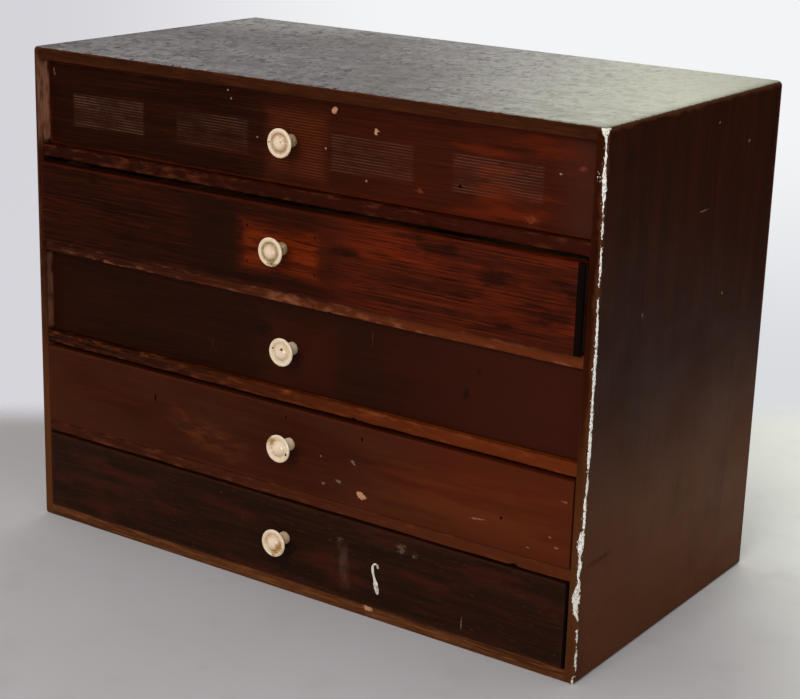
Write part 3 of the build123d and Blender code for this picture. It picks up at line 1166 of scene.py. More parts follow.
@dataclass(frozen=True)
class PaintCrust:
    """Old white paint left in chips along the right front edge of the case.

    covered gives, for each height, how far the paint reaches on the front face (below 0) and round
    the corner on the side (above 0), in mm from the corner. The paint stands thickness above the
    wood, bare places are sunk below it, and the skin's back lies buried inside it. border is how
    wide the paint's torn edge is. Flakes are gone and specks are left where a cloud passes
    flake_above and speck_above, and spatter is the middle and spread in height, and the reach, of
    specks that lie further over the front.
    """

    covered: tuple[tuple[float, float, float], ...] = (
        (390.0, -5.6, 0.8), (386.0, -4.6, 0.4), (383.0, -2.5, -0.7), (377.0, -1.6, -0.2),
        (371.0, -1.5, -0.2), (366.0, -2.0, 0.0), (360.0, -2.6, 0.5), (356.0, -2.6, 0.8),
        (350.0, -2.3, 1.2), (345.0, -1.9, 1.6), (341.0, -1.4, 0.4), (335.0, -1.0, 0.0),
        (329.0, -0.3, 0.4), (323.0, -0.8, 1.0), (318.0, -0.6, 0.4), (316.0, 0.5, -0.2),
        (313.0, 0.5, -0.2), (311.0, -0.7, 1.0), (305.0, -0.4, 0.9), (296.0, -0.3, 1.1),
        (287.0, -0.5, 0.7), (283.0, 0.4, 0.0), (279.0, 0.4, 0.0), (275.0, -0.4, 0.7),
        (269.0, -0.2, 1.4), (257.0, -0.2, 2.5), (240.0, -0.2, 2.5), (220.0, -0.4, 2.8),
        (209.0, -0.2, 2.2), (197.0, -0.2, 2.6), (179.0, -0.3, 2.6), (161.0, -0.2, 2.4),
        (156.0, 0.3, 1.1), (153.0, 0.2, 1.3), (149.0, -0.1, 2.4), (143.0, -0.4, 2.0),
        (137.0, -1.2, 0.6), (131.0, -1.2, 1.6), (119.0, -1.2, 1.6), (116.0, 0.3, 0.8),
        (113.0, -2.6, 1.2), (107.0, -3.4, 1.6), (101.0, -3.6, 0.5), (95.0, -2.6, -0.8),
        (89.0, -2.2, 0.6), (83.0, -3.2, -0.8), (77.0, -2.0, 0.2), (74.0, -2.8, 0.4),
        (71.0, -4.0, 0.7), (65.0, -6.0, 0.9), (59.0, -4.8, -0.2), (53.0, -3.6, -0.1),
        (49.0, -0.6, 0.2), (46.0, 0.6, 0.0), (43.0, 0.4, 0.2), (41.0, -0.3, 0.6),
        (35.0, -0.5, 1.0), (31.0, 0.3, 0.2), (28.0, 0.3, 0.2), (23.0, -0.5, 1.5),
        (17.0, -0.7, 1.3), (11.0, 0.8, 1.6), (8.0, 0.6, 0.8), (5.0, -2.0, -0.5),
        (0.0, -2.4, -0.6),
    )
    bottom: float = 0.6
    top: float = 389.5
    thickness: float = 0.4
    sunk: float = 0.5
    buried: float = 1.6
    border: float = 0.35
    step_up: float = 0.5
    step_across: float = 0.2
    corner: float = 1.2
    inner_edge: float = -7.7
    side_edge: float = 4.4
    flake_above: float = 0.72
    speck_above: float = 0.85
    spatter: tuple[float, float, float] = (357.0, 9.0, 3.2)
    seed: int = 41

    def shape(self) -> bpy.types.Object:
        """Lay a skin over the corner, thick where paint is left and sunk into the wood elsewhere.

        The path across runs along the front, round the corner as a quarter circle, and along the
        side. A point stands off the wood by thickness x cover x (0.4 + cloud) - sunk x (1 - cover),
        where cover falls from 1 to 0 over the paint's ragged border. Flakes are missing where a
        fine cloud is high, and specks are left where another is.

        Returns:
            The skin.
        """
        z = np.arange(self.bottom, self.top, self.step_up)
        s = np.arange(self.inner_edge, self.side_edge, self.step_across)
        rows = np.array(self.covered)[::-1]
        left = np.interp(z, rows[:, 0], rows[:, 1])[:, None]
        right = np.interp(z, rows[:, 0], rows[:, 2])[:, None]
        up, across = np.meshgrid(z, s, indexing="ij")
        fine = 0.7 * (patchy(up, across, (1.3, 0.7), self.seed) - 0.5)
        coarse = 0.6 * (patchy(up, across, (5.0, 9.0), self.seed + 1) - 0.5)
        inside = np.minimum(across - left, right - across) + fine + coarse
        flake = patchy(up, across, (1.6, 0.7), self.seed + 2) - self.flake_above
        inside = np.where(flake > 0.0, inside - 7.0 * flake, inside)
        speck = patchy(up, across, (1.0, 0.9), self.seed + 4) - self.speck_above
        middle, spread, reach = self.spatter
        cluster = reach * np.exp(-(((up - middle) / spread) ** 2))
        near = np.minimum(across - left + cluster, right - across) > -1.0
        inside = np.where(near & (speck > 0.0), np.maximum(inside, 6.0 * speck), inside)
        cover = np.clip(inside / self.border + 0.5, 0.0, 1.0)
        lump = patchy(up, across, (1.2, 0.9), self.seed + 3)
        stand = self.thickness * cover * (0.4 + lump) - self.sunk * (1.0 - cover)
        angle = (np.clip(across / self.corner, -1.0, 1.0) + 1.0) * np.pi / 4.0
        low, high = box_mm("right_side")
        base_x = high[0] - self.corner + np.minimum(across + self.corner, 0.0)
        base_y = low[1] + self.corner + np.maximum(across - self.corner, 0.0)
        outer, inner = (
            np.stack([base_x + r * np.sin(angle), base_y - r * np.cos(angle), up], axis=-1)
            for r in (self.corner + stand, self.corner - self.buried)
        )
        return make_object("paint_crust", np.concatenate([outer, inner[:, ::-1, :]], axis=1))

    def build(self) -> None:
        """Finish the skin as paint."""
        place_on(self.shape(), "case", PaintFinish().make())


# The dry film's colour changes over a hand's width, and again over a finger's.
DUST_CLOUDS = (
    Cloud((130.0, 60.0, 60.0), 14.0, 0.35, 0.65, "#68625d", 0.6),
    Cloud((24.0, 15.0, 20.0), 12.0, 0.4, 0.68, "#676161", 0.45),
)
# Its specks, from pale bubbles to the smallest and blackest pits.
DUST_SPECKS = (
    Cloud((14.0, 15.0, 5.0), 8.0, 0.53, 0.63, "#575050", 0.6, rise=-0.04),
    Cloud((8.0, 10.0, 4.0), 21.0, 0.58, 0.68, "#3a3232", 0.85, rise=-0.08),
    Cloud((10.0, 10.0, 5.0), 27.0, 0.58, 0.68, "#9b9696", 0.35, rise=0.02),
    Cloud((6.0, 9.0, 4.0), 91.0, 0.5, 0.6, "#585251", 0.55, rise=-0.04),
    Cloud((5.0, 8.0, 3.0), 35.0, 0.59, 0.69, "#231b19", 1.0, rise=-0.12),
    Cloud((4.0, 6.0, 3.0), 97.0, 0.6, 0.7, "#1d1614", 0.9, rise=-0.08),
)


@dataclass(frozen=True)
class Case:
    """The case: two sides, top, bottom, back, and the rails and runners between the drawers.

    low and high are its outer corners. dust_low and dust_high are the heights between which the
    dry film and painted sheen of the top set in. rubbed lists the middle and half height of the pale
    strips of painted light beside the left side's front edge, and how much each shows in front and
    inside.
    """

    rails: tuple[Rail, ...] = RAILS
    crust: PaintCrust = PaintCrust()
    low: tuple[float, float, float] = (-254.0, -135.0, 0.0)
    high: tuple[float, float, float] = (254.0, 135.0, 390.0)
    dust_low: float = 388.9
    dust_high: float = 389.4
    rubbed: tuple[tuple[float, float, float, float], ...] = (
        (348.0, 31.0, 1.0, 1.0),
        (194.5, 31.0, 0.12, 0.5),
        (118.0, 32.0, 0.06, 0.3),
    )

    def _wear(self, surface: Surface, colour: str, width: float, seed: float) -> None:
        """Rub the case's outer edges to a lighter brown."""
        rub = surface.arris(np.array(self.low), np.array(self.high), width, seed)
        surface.lay(rub, colour, 0.7, 0.5, -0.05)

    def _dust_and_sheen(self, surface: Surface) -> None:
        """Lay the dry grey film of the top, only on what faces up, with its pits and streaks.

        The grey film is dust and also painted sheen from the pale backdrop. It is painted paler to
        the back and to the right as a painted reflection of the window, and is darker and bluer on
        the left.

        Args:
            surface: the board's surface.
        """
        ragged = surface.field((4.0, 4.0, 4.0), 17.0, 0.2, 0.8)
        height = surface.add("ShaderNodeSeparateXYZ", surface.place, out=2)
        lifted = surface.add("ShaderNodeMath", ragged, -0.5, height, operation="MULTIPLY_ADD")
        upper = surface.add(
            "ShaderNodeMapRange",
            lifted,
            self.dust_low,
            self.dust_high,
            interpolation_type="SMOOTHSTEP",
        )
        # The grey film: dust, and painted sheen that stands for the pale backdrop's reflection.
        surface.lay(upper, "#7f7b7b", 0.97, 0.5)
        for cloud in DUST_CLOUDS:
            surface.stain(cloud, upper)
        # Painted reflection of the window and backdrop: paler to the back and right, less at the far
        # right.
        right = surface.slope((0.9, 0.3, 0.0), 20.0, 250.0)
        for way, colour, amount, roughness in (
            (surface.slope((-0.4, 0.9, 0.0), 90.0, 190.0), "#9a9590", 0.7, None),
            (right, "#a0a28c", 0.95, 0.42),
            (surface.slope((0.8, 0.6, 0.0), 170.0, 290.0), "#6d6f59", 0.85, None),
        ):
            surface.lay(surface.both(upper, way), colour, amount, roughness)
        smear = surface.zone(Blot((140.0, -100.0, 390.0), (130.0, 36.0, 9.0)), 0.8)
        handled = Cloud((22.0, 9.0, 9.0), 41.0, 0.42, 0.62, "#5f5b51", 0.55)
        surface.stain(handled, surface.both(upper, smear))
        left = surface.add("ShaderNodeMath", right, -0.8, 1.0, operation="MULTIPLY_ADD")
        grouped = surface.field((60.0, 40.0, 40.0), 25.0, 0.3, 0.6)
        crowd = surface.add("ShaderNodeMath", grouped, 0.45, 0.55, operation="MULTIPLY_ADD")
        dense = surface.both(upper, surface.both(left, crowd))
        for speck in DUST_SPECKS:
            surface.stain(speck, dense)

    def _left_painted_light(self, side: Surface) -> None:
        """Lay painted light: pale strips on the left side's front edge and inner face by the drawers.

        Args:
            side: the left side's surface.
        """
        for z, tall, edge, inner in self.rubbed:
            # Painted light: pale strips on the side's front edge and inner face, broken up by a
            # cloud.
            worn = side.field((5.0, 5.0, 17.0), z, 0.2, 0.6)
            for blot, soft, colour, amount in (
                (Blot((-248.4, -133.0, z), (2.9, 3.0, tall)), 0.3, "#644130", edge),
                (Blot((-246.0, -129.5, z), (0.8, 5.0, tall)), 0.05, "#94624a", inner),
            ):
                side.lay(side.both(side.zone(blot, soft), worn), colour, amount, 0.6)

    def _right_marks(self, side: Surface) -> None:
        """Lay the right side's two dark blots, its small scratches and its glued seam.

        Args:
            side: the right side's surface.
        """
        flank = self.high[0]
        blots = [
            Blot((flank, -100.0, 365.0), (4.0, 11.0, 12.0)),
            Blot((flank, -112.0, 86.0), (4.0, 22.0, 3.0)),
        ]
        side.spots(blots, replace(DARK_BLOT, amount=0.4))
        scratches = [
            Blot((flank, 30.0, 372.0), (3.0, 2.0, 1.2)),
            Blot((flank, 83.0, 352.0), (3.0, 1.6, 1.6)),
            Blot((flank, -70.0, 252.0), (3.0, 1.2, 2.0)),
            Blot((flank, 57.0, 242.0), (3.0, 1.4, 1.4)),
            Blot((flank, 15.0, 311.0), (3.0, 9.0, 0.7)),
        ]
        side.spots(scratches, SCRAPE)
        seam = side.zone(Blot((flank, 86.0, 195.0), (4.0, 0.5, 200.0)), 0.3)
        side.lay(seam, "#160601", 0.35, 0.6, -0.05)

    def _side(self, seed: float, marks: Callable[[Surface], None]) -> bpy.types.Material:
        """Finish a side: painted paler low down as the table's reflection, rubbed paler at its edges.

        Args:
            seed: which grain it has.
            marks: lays the marks that this side alone has.

        Returns:
            The side's material.
        """
        side = SIDE_FINISH.start(seed)
        # Painted reflection of the table: the side turns paler and browner from 220 mm down to 70 mm.
        table_reflection = Cloud((60.0, 60.0, 110.0), 3.0, 0.1, 0.5, "#522e17", 0.85)
        side.stain(table_reflection, side.slope((0.0, 0.0, 1.0), 220.0, 70.0))
        self._wear(side, "#4a2814", 3.0, seed + 3.0)
        marks(side)
        self._dust_and_sheen(side)
        return side.finish(SIDE_FINISH.specular)

    def _top(self) -> bpy.types.Material:
        """Finish the top board under its dry film.

        Returns:
            The board's material.
        """
        board = TOP_FINISH.start(31.0)
        self._wear(board, "#46220b", 1.6, 33.0)
        self._dust_and_sheen(board)
        return board.finish(TOP_FINISH.specular)

    def _bottom(self) -> bpy.types.Material:
        """Finish the bottom board, with one chip at its front.

        Returns:
            The board's material.
        """
        board = BOTTOM_FINISH.start(36.0)
        self._wear(board, "#46220b", 1.6, 38.0)
        board.spots([Mark(332.0, 7.5, 9.0, 4.0).on(SIGHT.front)], CHIP)
        return board.finish(BOTTOM_FINISH.specular)

    def _back(self, node: str, seed: float) -> bpy.types.Material:
        """Finish a back board, dark along its edges and in clouds.

        Args:
            node: the board's CAD node.
            seed: which grain it has.

        Returns:
            The board's material.
        """
        back = replace(BACK_FINISH, name=f"{node}_bare_dark_pine").start(seed)
        back.lay(back.arris(*box_mm(node), 2.4, seed), "#150d07", 0.85)
        back.stain(Cloud((90.0, 40.0, 60.0), seed + 1.0, 0.5, 0.75, "#2a1d14", 0.6))
        return back.finish(BACK_FINISH.specular)

    def dress(self) -> None:
        """Give each board of the case its finish."""
        materials = {
            "left_side": self._side(2.0, self._left_painted_light),
            "right_side": self._side(6.0, self._right_marks),
            "top_board": self._top(),
            "bottom_board": self._bottom(),
            "back_board_lower": self._back("back_board_lower", 44.0),
            "back_board_upper": self._back("back_board_upper", 48.0),
            "back_pins": PIN_FINISH.make(),
        }
        runner = RUNNER_FINISH.make(52.0)
        materials.update({f"runners_{rail.number}": runner for rail in self.rails})
        for node, material in materials.items():
            assign(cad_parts[node], material)
            log.info("%s: %s", node, material.name)

    def build(self) -> None:
        """Dress the boards, and make the worn rails and the paint."""
        self.dress()
        for rail in self.rails:
            rail.build()
        self.crust.build()


@dataclass(frozen=True)
class TrayFinish:
    """What the five trays share: pine boards, beech slips and a steel screw."""

    pine_seed: float = 71.0
    slip_seed: float = 83.0
    # soiled is painted shade on the boards just behind the front, where they show in the gaps.
    soiled: str = "#1a0c06"
    gap_shade_from: float = -112.0
    gap_shade_full: float = -120.0

    def make(self) -> dict[str, bpy.types.Material]:
        """Finish the tray, with painted shade on the boards just behind the front, in the gaps.

        Returns:
            A material for each end of a tray node's name.
        """
        pine = BOX_FINISH.start(self.pine_seed)
        # Painted shade: the boards darken just behind the front, where the gaps round it are in
        # shade.
        tray_gap_shade = pine.slope((0.0, 1.0, 0.0), self.gap_shade_from, self.gap_shade_full)
        pine.lay(tray_gap_shade, self.soiled, 0.95, 0.6)
        box = pine.finish(BOX_FINISH.specular)
        slip = DIVIDER_FINISH.make(self.slip_seed)
        made = dict.fromkeys(("left_side", "right_side", "back", "bottom"), box)
        made.update(dict.fromkeys(("long_divider", "cross_dividers"), slip))
        made["knob_screw"] = SCREW_FINISH.make()
        return made


@dataclass(frozen=True)
class Drawer:
    """One drawer: its front, tray, dividers, knob, and the marks on its face.

    knob_x and knob_z place the knob's axis, and gap is how wide the painted shade for the dark gap
    at the front's right end is.
    """

    number: int
    knob_x: float
    knob_z: float
    gap: float = 0.0
    bone: BoneFinish = BoneFinish()
    knob: KnobShape = KnobShape()

    @property
    def body(self) -> str:
        """The CAD body that the drawer's pieces ride on."""
        return f"drawer_{self.number}"

    @property
    def face(self) -> float:
        """Where the drawer's face stands along Y."""
        return float(box_mm(f"{self.body}_front")[0][1])

    def spots(self, surface: Surface, layer: Layer, *marks: Mark) -> None:
        """Lay a group of marks on the face."""
        surface.spots([mark.on(self.face) for mark in marks], layer)

    def zone(self, surface: Surface, mark: Mark, soft: float) -> Socket:
        """The place of one mark on the face, with soft sides."""
        return surface.zone(mark.on(self.face), soft)

    def mark(self, surface: Surface) -> None:
        """Lay the marks that this drawer alone has. The plain drawer has none."""

    def dress_front(self) -> None:
        """Finish the front: marks, rubbed edges, and painted shade for the gap at its right end."""
        finish = FRONT_FINISHES[self.number - 1]
        surface = finish.start(100.0 + 17.0 * self.number)
        low, high = box_mm(f"{self.body}_front")
        self.mark(surface)
        rub = surface.arris(low, high, 1.8, 3.0 * self.number)
        surface.lay(rub, finish.light, 0.5, 0.6, -0.04)
        # A near-black band painted on the front's right end: painted shade for the dark gap there.
        if self.gap:
            end = Blot((high[0], low[1], (low[2] + high[2]) / 2.0), (self.gap, 4.0, 60.0))
            surface.lay(surface.zone(end, 0.08), FRONT_GAP_SHADE.colour, FRONT_GAP_SHADE.amount, FRONT_GAP_SHADE.roughness)
        assign(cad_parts[f"{self.body}_front"], surface.finish(finish.specular))

    def turn_knob(self) -> None:
        """Make the turned knob in the place of the plain one."""
        tip = (self.knob_x, self.face - self.knob.dome_edge, self.knob_z)
        bone = self.bone.make(f"knob_{self.number}_turned_bone", 7.0 * self.number, tip)
        made = self.knob.build(f"{self.body}_turned_knob", self.knob_x, self.face, self.knob_z)
        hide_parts(f"{self.body}_knob")
        place_on(made, self.body, bone)

    def build(self, tray: dict[str, bpy.types.Material]) -> None:
        """Dress the front and the tray, and make the knob.

        Args:
            tray: the material of each of the tray's pieces.
        """
        self.dress_front()
        self.turn_knob()
        for piece, material in tray.items():
            assign(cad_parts[f"{self.body}_{piece}"], material)
        log.info("%s: face at y %.1f mm", self.body, self.face)


@dataclass(frozen=True)
class ScoredDrawer(Drawer):
    """The top drawer, scored in four patches, perhaps for glued labels.

    strengths say how clearly each patch shows, and pitch is how far apart the scores are drawn. At
    a scale of 1 the wave pattern repeats every unit_wave mm.
    """

    patches: tuple[Mark, ...] = (
        Mark(78.0, 345.5, 72.0, 25.0, 1.0),
        Mark(181.0, 345.5, 68.0, 25.0, 1.0),
        Mark(325.0, 345.5, 70.0, 26.0, 1.0),
        Mark(427.5, 345.5, 71.0, 26.0, 1.0),
    )
    strengths: tuple[float, ...] = (1.0, 0.5, 0.6, 0.65)
    pitch: float = 2.1
    unit_wave: float = 0.314

    def mark(self, surface: Surface) -> None:
        """Lay the scoring, pale lines a pitch apart whose strength a long cloud changes.

        Before it come the redder right half, the dark left end, the dull right end, the embers
        round the right patch and the glow behind the knob, and after it the chips and spots.

        Args:
            surface: the front's surface.
        """
        surface.lay(surface.slope((1.0, 0.0, 0.0), -70.0, 130.0), "#401203", 0.6)
        surface.lay(surface.slope((-1.0, 0.0, 0.0), -20.0, 200.0), "#160500", 0.4)
        surface.stain(Cloud((70.0, 4.0, 0.9), 63.0, 0.5, 0.62, "#1f0701", 0.6, rise=-0.02))
        surface.lay(surface.slope((1.0, 0.0, 0.0), 205.0, 245.0), "#3b1d14", 0.6, 0.6)
        around = self.zone(surface, Mark(425.0, 345.0, 110.0, 70.0), 0.7)
        surface.stain(Cloud((70.0, 8.0, 13.0), 7.0, 0.45, 0.7, "#641d04", 0.65), around)
        glow = self.zone(surface, Mark(259.0, 346.0, 50.0, 48.0), 0.35)
        surface.lay(glow, "#431505", 0.6)
        union: object = 0.0
        for patch, strength in zip(self.patches, self.strengths):
            zone = self.zone(surface, patch, 0.05)
            weaker = surface.add("ShaderNodeMath", zone, strength, operation="MULTIPLY")
            union = surface.add("ShaderNodeMath", union, weaker, operation="MAXIMUM")
        surface.lay(union, "#44241a", 0.16)
        lines = surface.add(
            "ShaderNodeTexWave",
            surface.place,
            self.unit_wave / self.pitch,
            0.35,
            2.0,
            0.25,
            wave_type="BANDS",
            bands_direction="Z",
        )
        thin = surface.add("ShaderNodeMapRange", lines, 0.6, 0.95)
        level = surface.field((120.0, 120.0, 2.3), 77.0, 0.2, 0.55)
        rubbed = surface.field((30.0, 9.0, 15.0), 83.0, 0.28, 0.6)
        broken = surface.both(rubbed, surface.field((14.0, 7.0, 2.3), 79.0, 0.28, 0.5))
        scored = surface.both(surface.both(thin, level), surface.both(broken, union))
        surface.lay(scored, "#6e4e3a", 0.52, 0.7, -0.06)
        tooth = surface.both(surface.both(thin, broken), glow)
        surface.lay(tooth, "#6b3418", 0.5, 0.6, -0.03)
        self.spots(surface, CHIP, Mark(292.5, 375.0, 5.5, 5.0), Mark(328.5, 364.0, 4.6, 4.2))
        self.spots(
            surface,
            Layer("#7c3a20", 0.4, 0.7, rise=-0.05, ragged=1.2, soft=0.8),
            Mark(456.0, 322.0, 12.0, 7.0),
            Mark(491.0, 361.0, 6.0, 5.0),
            Mark(366.0, 328.0, 8.0, 4.0),
        )
        self.spots(
            surface,
            Layer("#a08f84", 0.6, 0.6, rise=0.15, ragged=0.6, soft=0.6),
            Mark(196.0, 378.0, 2.2, 1.8),
            Mark(199.0, 372.0, 2.0, 2.0),
            Mark(321.0, 328.5, 2.0, 2.0),
            Mark(475.0, 355.5, 3.0, 1.8),
            Mark(223.5, 347.0, 2.2, 2.0),
            Mark(285.3, 347.0, 2.2, 2.0),
        )
        self.spots(surface, replace(SCRAPE, amount=0.3), Mark(22.0, 372.0, 2.0, 8.0, 12.0))
        self.spots(surface, HOLE, Mark(398.5, 336.0, 2.6, 2.6), Mark(330.0, 363.5, 2.2, 2.0))


@dataclass(frozen=True)
class GhostDrawer(Drawer):
    """The second drawer, orange in a patch, perhaps where a label frame kept the light off.

    ghost is the frame's place, and pins how far its four pin holes lie from its middle.
    """

    ghost: Mark = Mark(246.0, 267.0, 68.0, 33.0)
    pins: tuple[float, float] = (31.0, 13.5)

    def mark(self, surface: Surface) -> None:
        """Lay the redder right half, the dark zone by the label, its ghost and its pin holes.

        Args:
            surface: the front's surface.
        """
        right = surface.slope((1.0, 0.0, 0.0), 10.0, 90.0)
        surface.lay(right, "#3a1003", 0.7)
        surface.stain(Cloud((90.0, 10.0, 14.0), 19.0, 0.4, 0.64, "#611b04", 0.6), right)
        surface.stain(Cloud((100.0, 6.0, 1.0), 61.0, 0.48, 0.62, "#6a2206", 0.38), right)
        surface.stain(Cloud((40.0, 20.0, 16.0), 67.0, 0.56, 0.74, "#160401", 0.75))
        beside = self.zone(surface, Mark(182.0, 262.0, 50.0, 60.0), 0.5)
        surface.lay(beside, "#1b0802", 0.7)
        ragged = surface.field((30.0, 8.0, 2.4), 53.0, 0.3, 0.7)
        spread = surface.both(self.zone(surface, self.ghost, 0.4), ragged)
        core = self.zone(surface, self.ghost, 0.14)
        ghost = surface.add("ShaderNodeMath", spread, core, operation="MAXIMUM")
        surface.lay(ghost, "#4a1301", 0.92, 0.5)
        surface.stain(Cloud((40.0, 8.0, 7.0), 29.0, 0.38, 0.6, "#7c2c04", 0.4), ghost)
        cast = surface.add("ShaderNodeMath", right, ghost, operation="MAXIMUM")
        dashes = Cloud((34.0, 4.0, 1.1), 37.0, 0.52, 0.64, "#180400", 0.75, 0.5, -0.03)
        surface.stain(dashes, cast)
        holes = [
            Mark(self.ghost.x + a * self.pins[0], self.ghost.z + b * self.pins[1], 1.9, 1.9)
            for a in (-1, 1)
            for b in (-1, 1)
        ]
        self.spots(surface, HOLE, *holes)


@dataclass(frozen=True)
class BlottedDrawer(Drawer):
    """The third drawer, plain brown with a few dark blots."""

    def mark(self, surface: Surface) -> None:
        """Lay the redder right end, the blots and a few upright scratches.

        Args:
            surface: the front's surface.
        """
        surface.lay(surface.slope((1.0, 0.0, 0.0), 0.0, 230.0), "#381308", 0.75)
        surface.lay(self.zone(surface, Mark(265.0, 190.0, 60.0, 50.0), 0.7), "#42170a", 0.35)
        self.spots(
            surface,
            DARK_BLOT,
            Mark(410.0, 192.0, 7.0, 10.0),
            Mark(420.0, 210.0, 6.0, 5.0),
            Mark(230.0, 205.0, 24.0, 14.0),
        )
        self.spots(
            surface,
            Layer("#6e3a20", 0.3, 0.7, rise=-0.03, ragged=0.8, soft=0.8),
            Mark(182.0, 184.0, 0.9, 13.0),
            Mark(185.0, 180.0, 0.8, 8.0),
            Mark(330.0, 216.0, 1.0, 14.0),
        )


@dataclass(frozen=True)
class ChippedDrawer(Drawer):
    """The fourth drawer, warm red-brown with chips, holes and scratches."""

    def mark(self, surface: Surface) -> None:
        """Lay the redder right end, the lighter flame in the grain, chips, holes and scratches.

        Args:
            surface: the front's surface.
        """
        surface.lay(surface.slope((1.0, 0.0, 0.0), 40.0, 200.0), "#521906", 0.7)
        surface.stain(Cloud((150.0, 20.0, 26.0), 23.0, 0.35, 0.65, "#3d1d0b", 0.45))
        warm = self.zone(surface, Mark(420.0, 112.0, 150.0, 40.0), 0.8)
        surface.stain(Cloud((70.0, 20.0, 9.0), 71.0, 0.3, 0.62, "#5c2a10", 0.45), warm)
        flame = self.zone(surface, Mark(175.0, 108.0, 60.0, 18.0, -14.0), 0.8)
        surface.stain(Cloud((16.0, 6.0, 5.0), 33.0, 0.4, 0.65, "#5e2a12", 0.5), flame)
        self.spots(surface, CHIP, Mark(323.0, 95.0, 9.5, 5.0, -10.0))
        self.spots(
            surface,
            SCRAPE,
            Mark(302.0, 101.0, 6.0, 3.4),
            Mark(289.0, 96.5, 4.0, 3.0),
            Mark(286.0, 117.0, 2.4, 2.0),
            Mark(315.0, 119.0, 7.0, 3.4, -35.0),
            Mark(424.0, 102.5, 15.0, 1.6, 8.0),
            Mark(492.0, 132.0, 5.0, 1.6),
            Mark(465.0, 92.0, 3.0, 1.6),
            Mark(482.0, 104.0, 2.6, 2.6),
            Mark(488.0, 97.5, 4.0, 2.0),
        )
        self.spots(
            surface,
            HOLE,
            Mark(253.0, 140.0, 2.2, 2.2),
            Mark(323.0, 138.5, 1.8, 4.0, 15.0),
            Mark(123.5, 128.0, 1.8, 6.0),
            Mark(443.0, 108.0, 2.4, 2.4),
        )


@dataclass(frozen=True)
class SplashedDrawer(Drawer):
    """The bottom drawer, dark, with a hooked splash of white paint.

    hook is the splash's middle line as the camera sees it, from its thin end to its blunt one.
    Its half width grows from thin by spread, and it stands thickness off the face.
    """

    hook: tuple[tuple[float, float], ...] = (
        (340.2, 41.6),
        (339.4, 44.0),
        (337.0, 44.2),
        (335.4, 41.4),
        (336.0, 36.5),
        (337.8, 31.0),
        (339.2, 25.5),
        (340.4, 20.8),
    )
    thickness: float = 0.5
    thin: float = 0.6
    spread: float = 1.5

    def mark(self, surface: Surface) -> None:
        """Lay blotches, pale smudges and scratches.

        Args:
            surface: the front's surface.
        """
        surface.stain(Cloud((60.0, 20.0, 14.0), 43.0, 0.48, 0.68, "#3c150a", 0.5))
        surface.stain(Cloud((7.0, 4.0, 0.9), 47.0, 0.64, 0.72, "#6a4436", 0.3, 0.7))
        self.spots(
            surface,
            Layer("#6b5246", 0.45, 0.7, ragged=1.2, soft=0.9),
            Mark(360.5, 63.0, 10.0, 9.0, 40.0),
            Mark(372.0, 60.0, 5.0, 5.0),
            Mark(305.0, 56.0, 7.0, 4.0),
        )
        smear = self.zone(surface, Mark(309.0, 36.0, 7.0, 26.0, 5.0), 0.8)
        surface.stain(Cloud((4.0, 4.0, 9.0), 91.0, 0.2, 0.6, "#5c4434", 0.35, 0.7), smear)
        self.spots(surface, SCRAPE, Mark(414.0, 18.0, 1.0, 12.0))

    def splash(self) -> bpy.types.Object:
        """Carry an ellipse along the splash's hooked line.

        Between two points of the line the way is a cubic through them whose slope at each is half
        the step from the point before to the point after. The ellipse stands thickness high and is
        as wide as a power of the length run, so it is thin at the hook and blunt at the end.

        Returns:
            The splash.
        """
        seen = np.array([SIGHT.place(x, z, self.face) for x, z in self.hook])[:, [0, 2]]
        ends = np.vstack([2.0 * seen[0] - seen[1], seen, 2.0 * seen[-1] - seen[-2]])
        t = np.linspace(0.0, len(seen) - 1.001, 90)
        k = t.astype(int)
        u = (t - k)[:, None]
        a, b, c, d = ends[k], ends[k + 1], ends[k + 2], ends[k + 3]
        line = 0.5 * (
            2.0 * b
            + (c - a) * u
            + (2.0 * a - 5.0 * b + 4.0 * c - d) * u**2
            + (3.0 * b - a - 3.0 * c + d) * u**3
        )
        way = np.gradient(line, axis=0)
        way /= np.linalg.norm(way, axis=1)[:, None]
        side = np.stack([-way[:, 1], way[:, 0]], axis=-1)
        share = t / t[-1]
        blunt = np.clip((1.0 - share) / 0.06, 0.05, 1.0) ** 0.5
        uneven = 0.7 + 0.6 * wander(t, 0.6, 5)
        width = (self.thin + self.spread * share**1.3) * uneven * blunt
        angle = np.linspace(0.0, 2.0 * np.pi, 16, endpoint=False)
        x = line[:, 0, None] + side[:, 0, None] * width[:, None] * np.cos(angle)
        z = line[:, 1, None] + side[:, 1, None] * width[:, None] * np.cos(angle)
        y = self.face - self.thickness * np.sin(angle)[None, :] * blunt[:, None]
        return make_object("paint_splash", np.stack([x, y, z], axis=-1))

    def build(self, tray: dict[str, bpy.types.Material]) -> None:
        """Dress the drawer as the others are, and add the splash."""
        super().build(tray)
        place_on(self.splash(), self.body, PaintFinish().make())


def dot(x: float, z: float, wide: float, tall: float) -> Blot:
    """A round stain on a knob's face, from its middle, with its half sizes."""
    return Blot((x, 0.0, z), (wide, 4.0, tall))


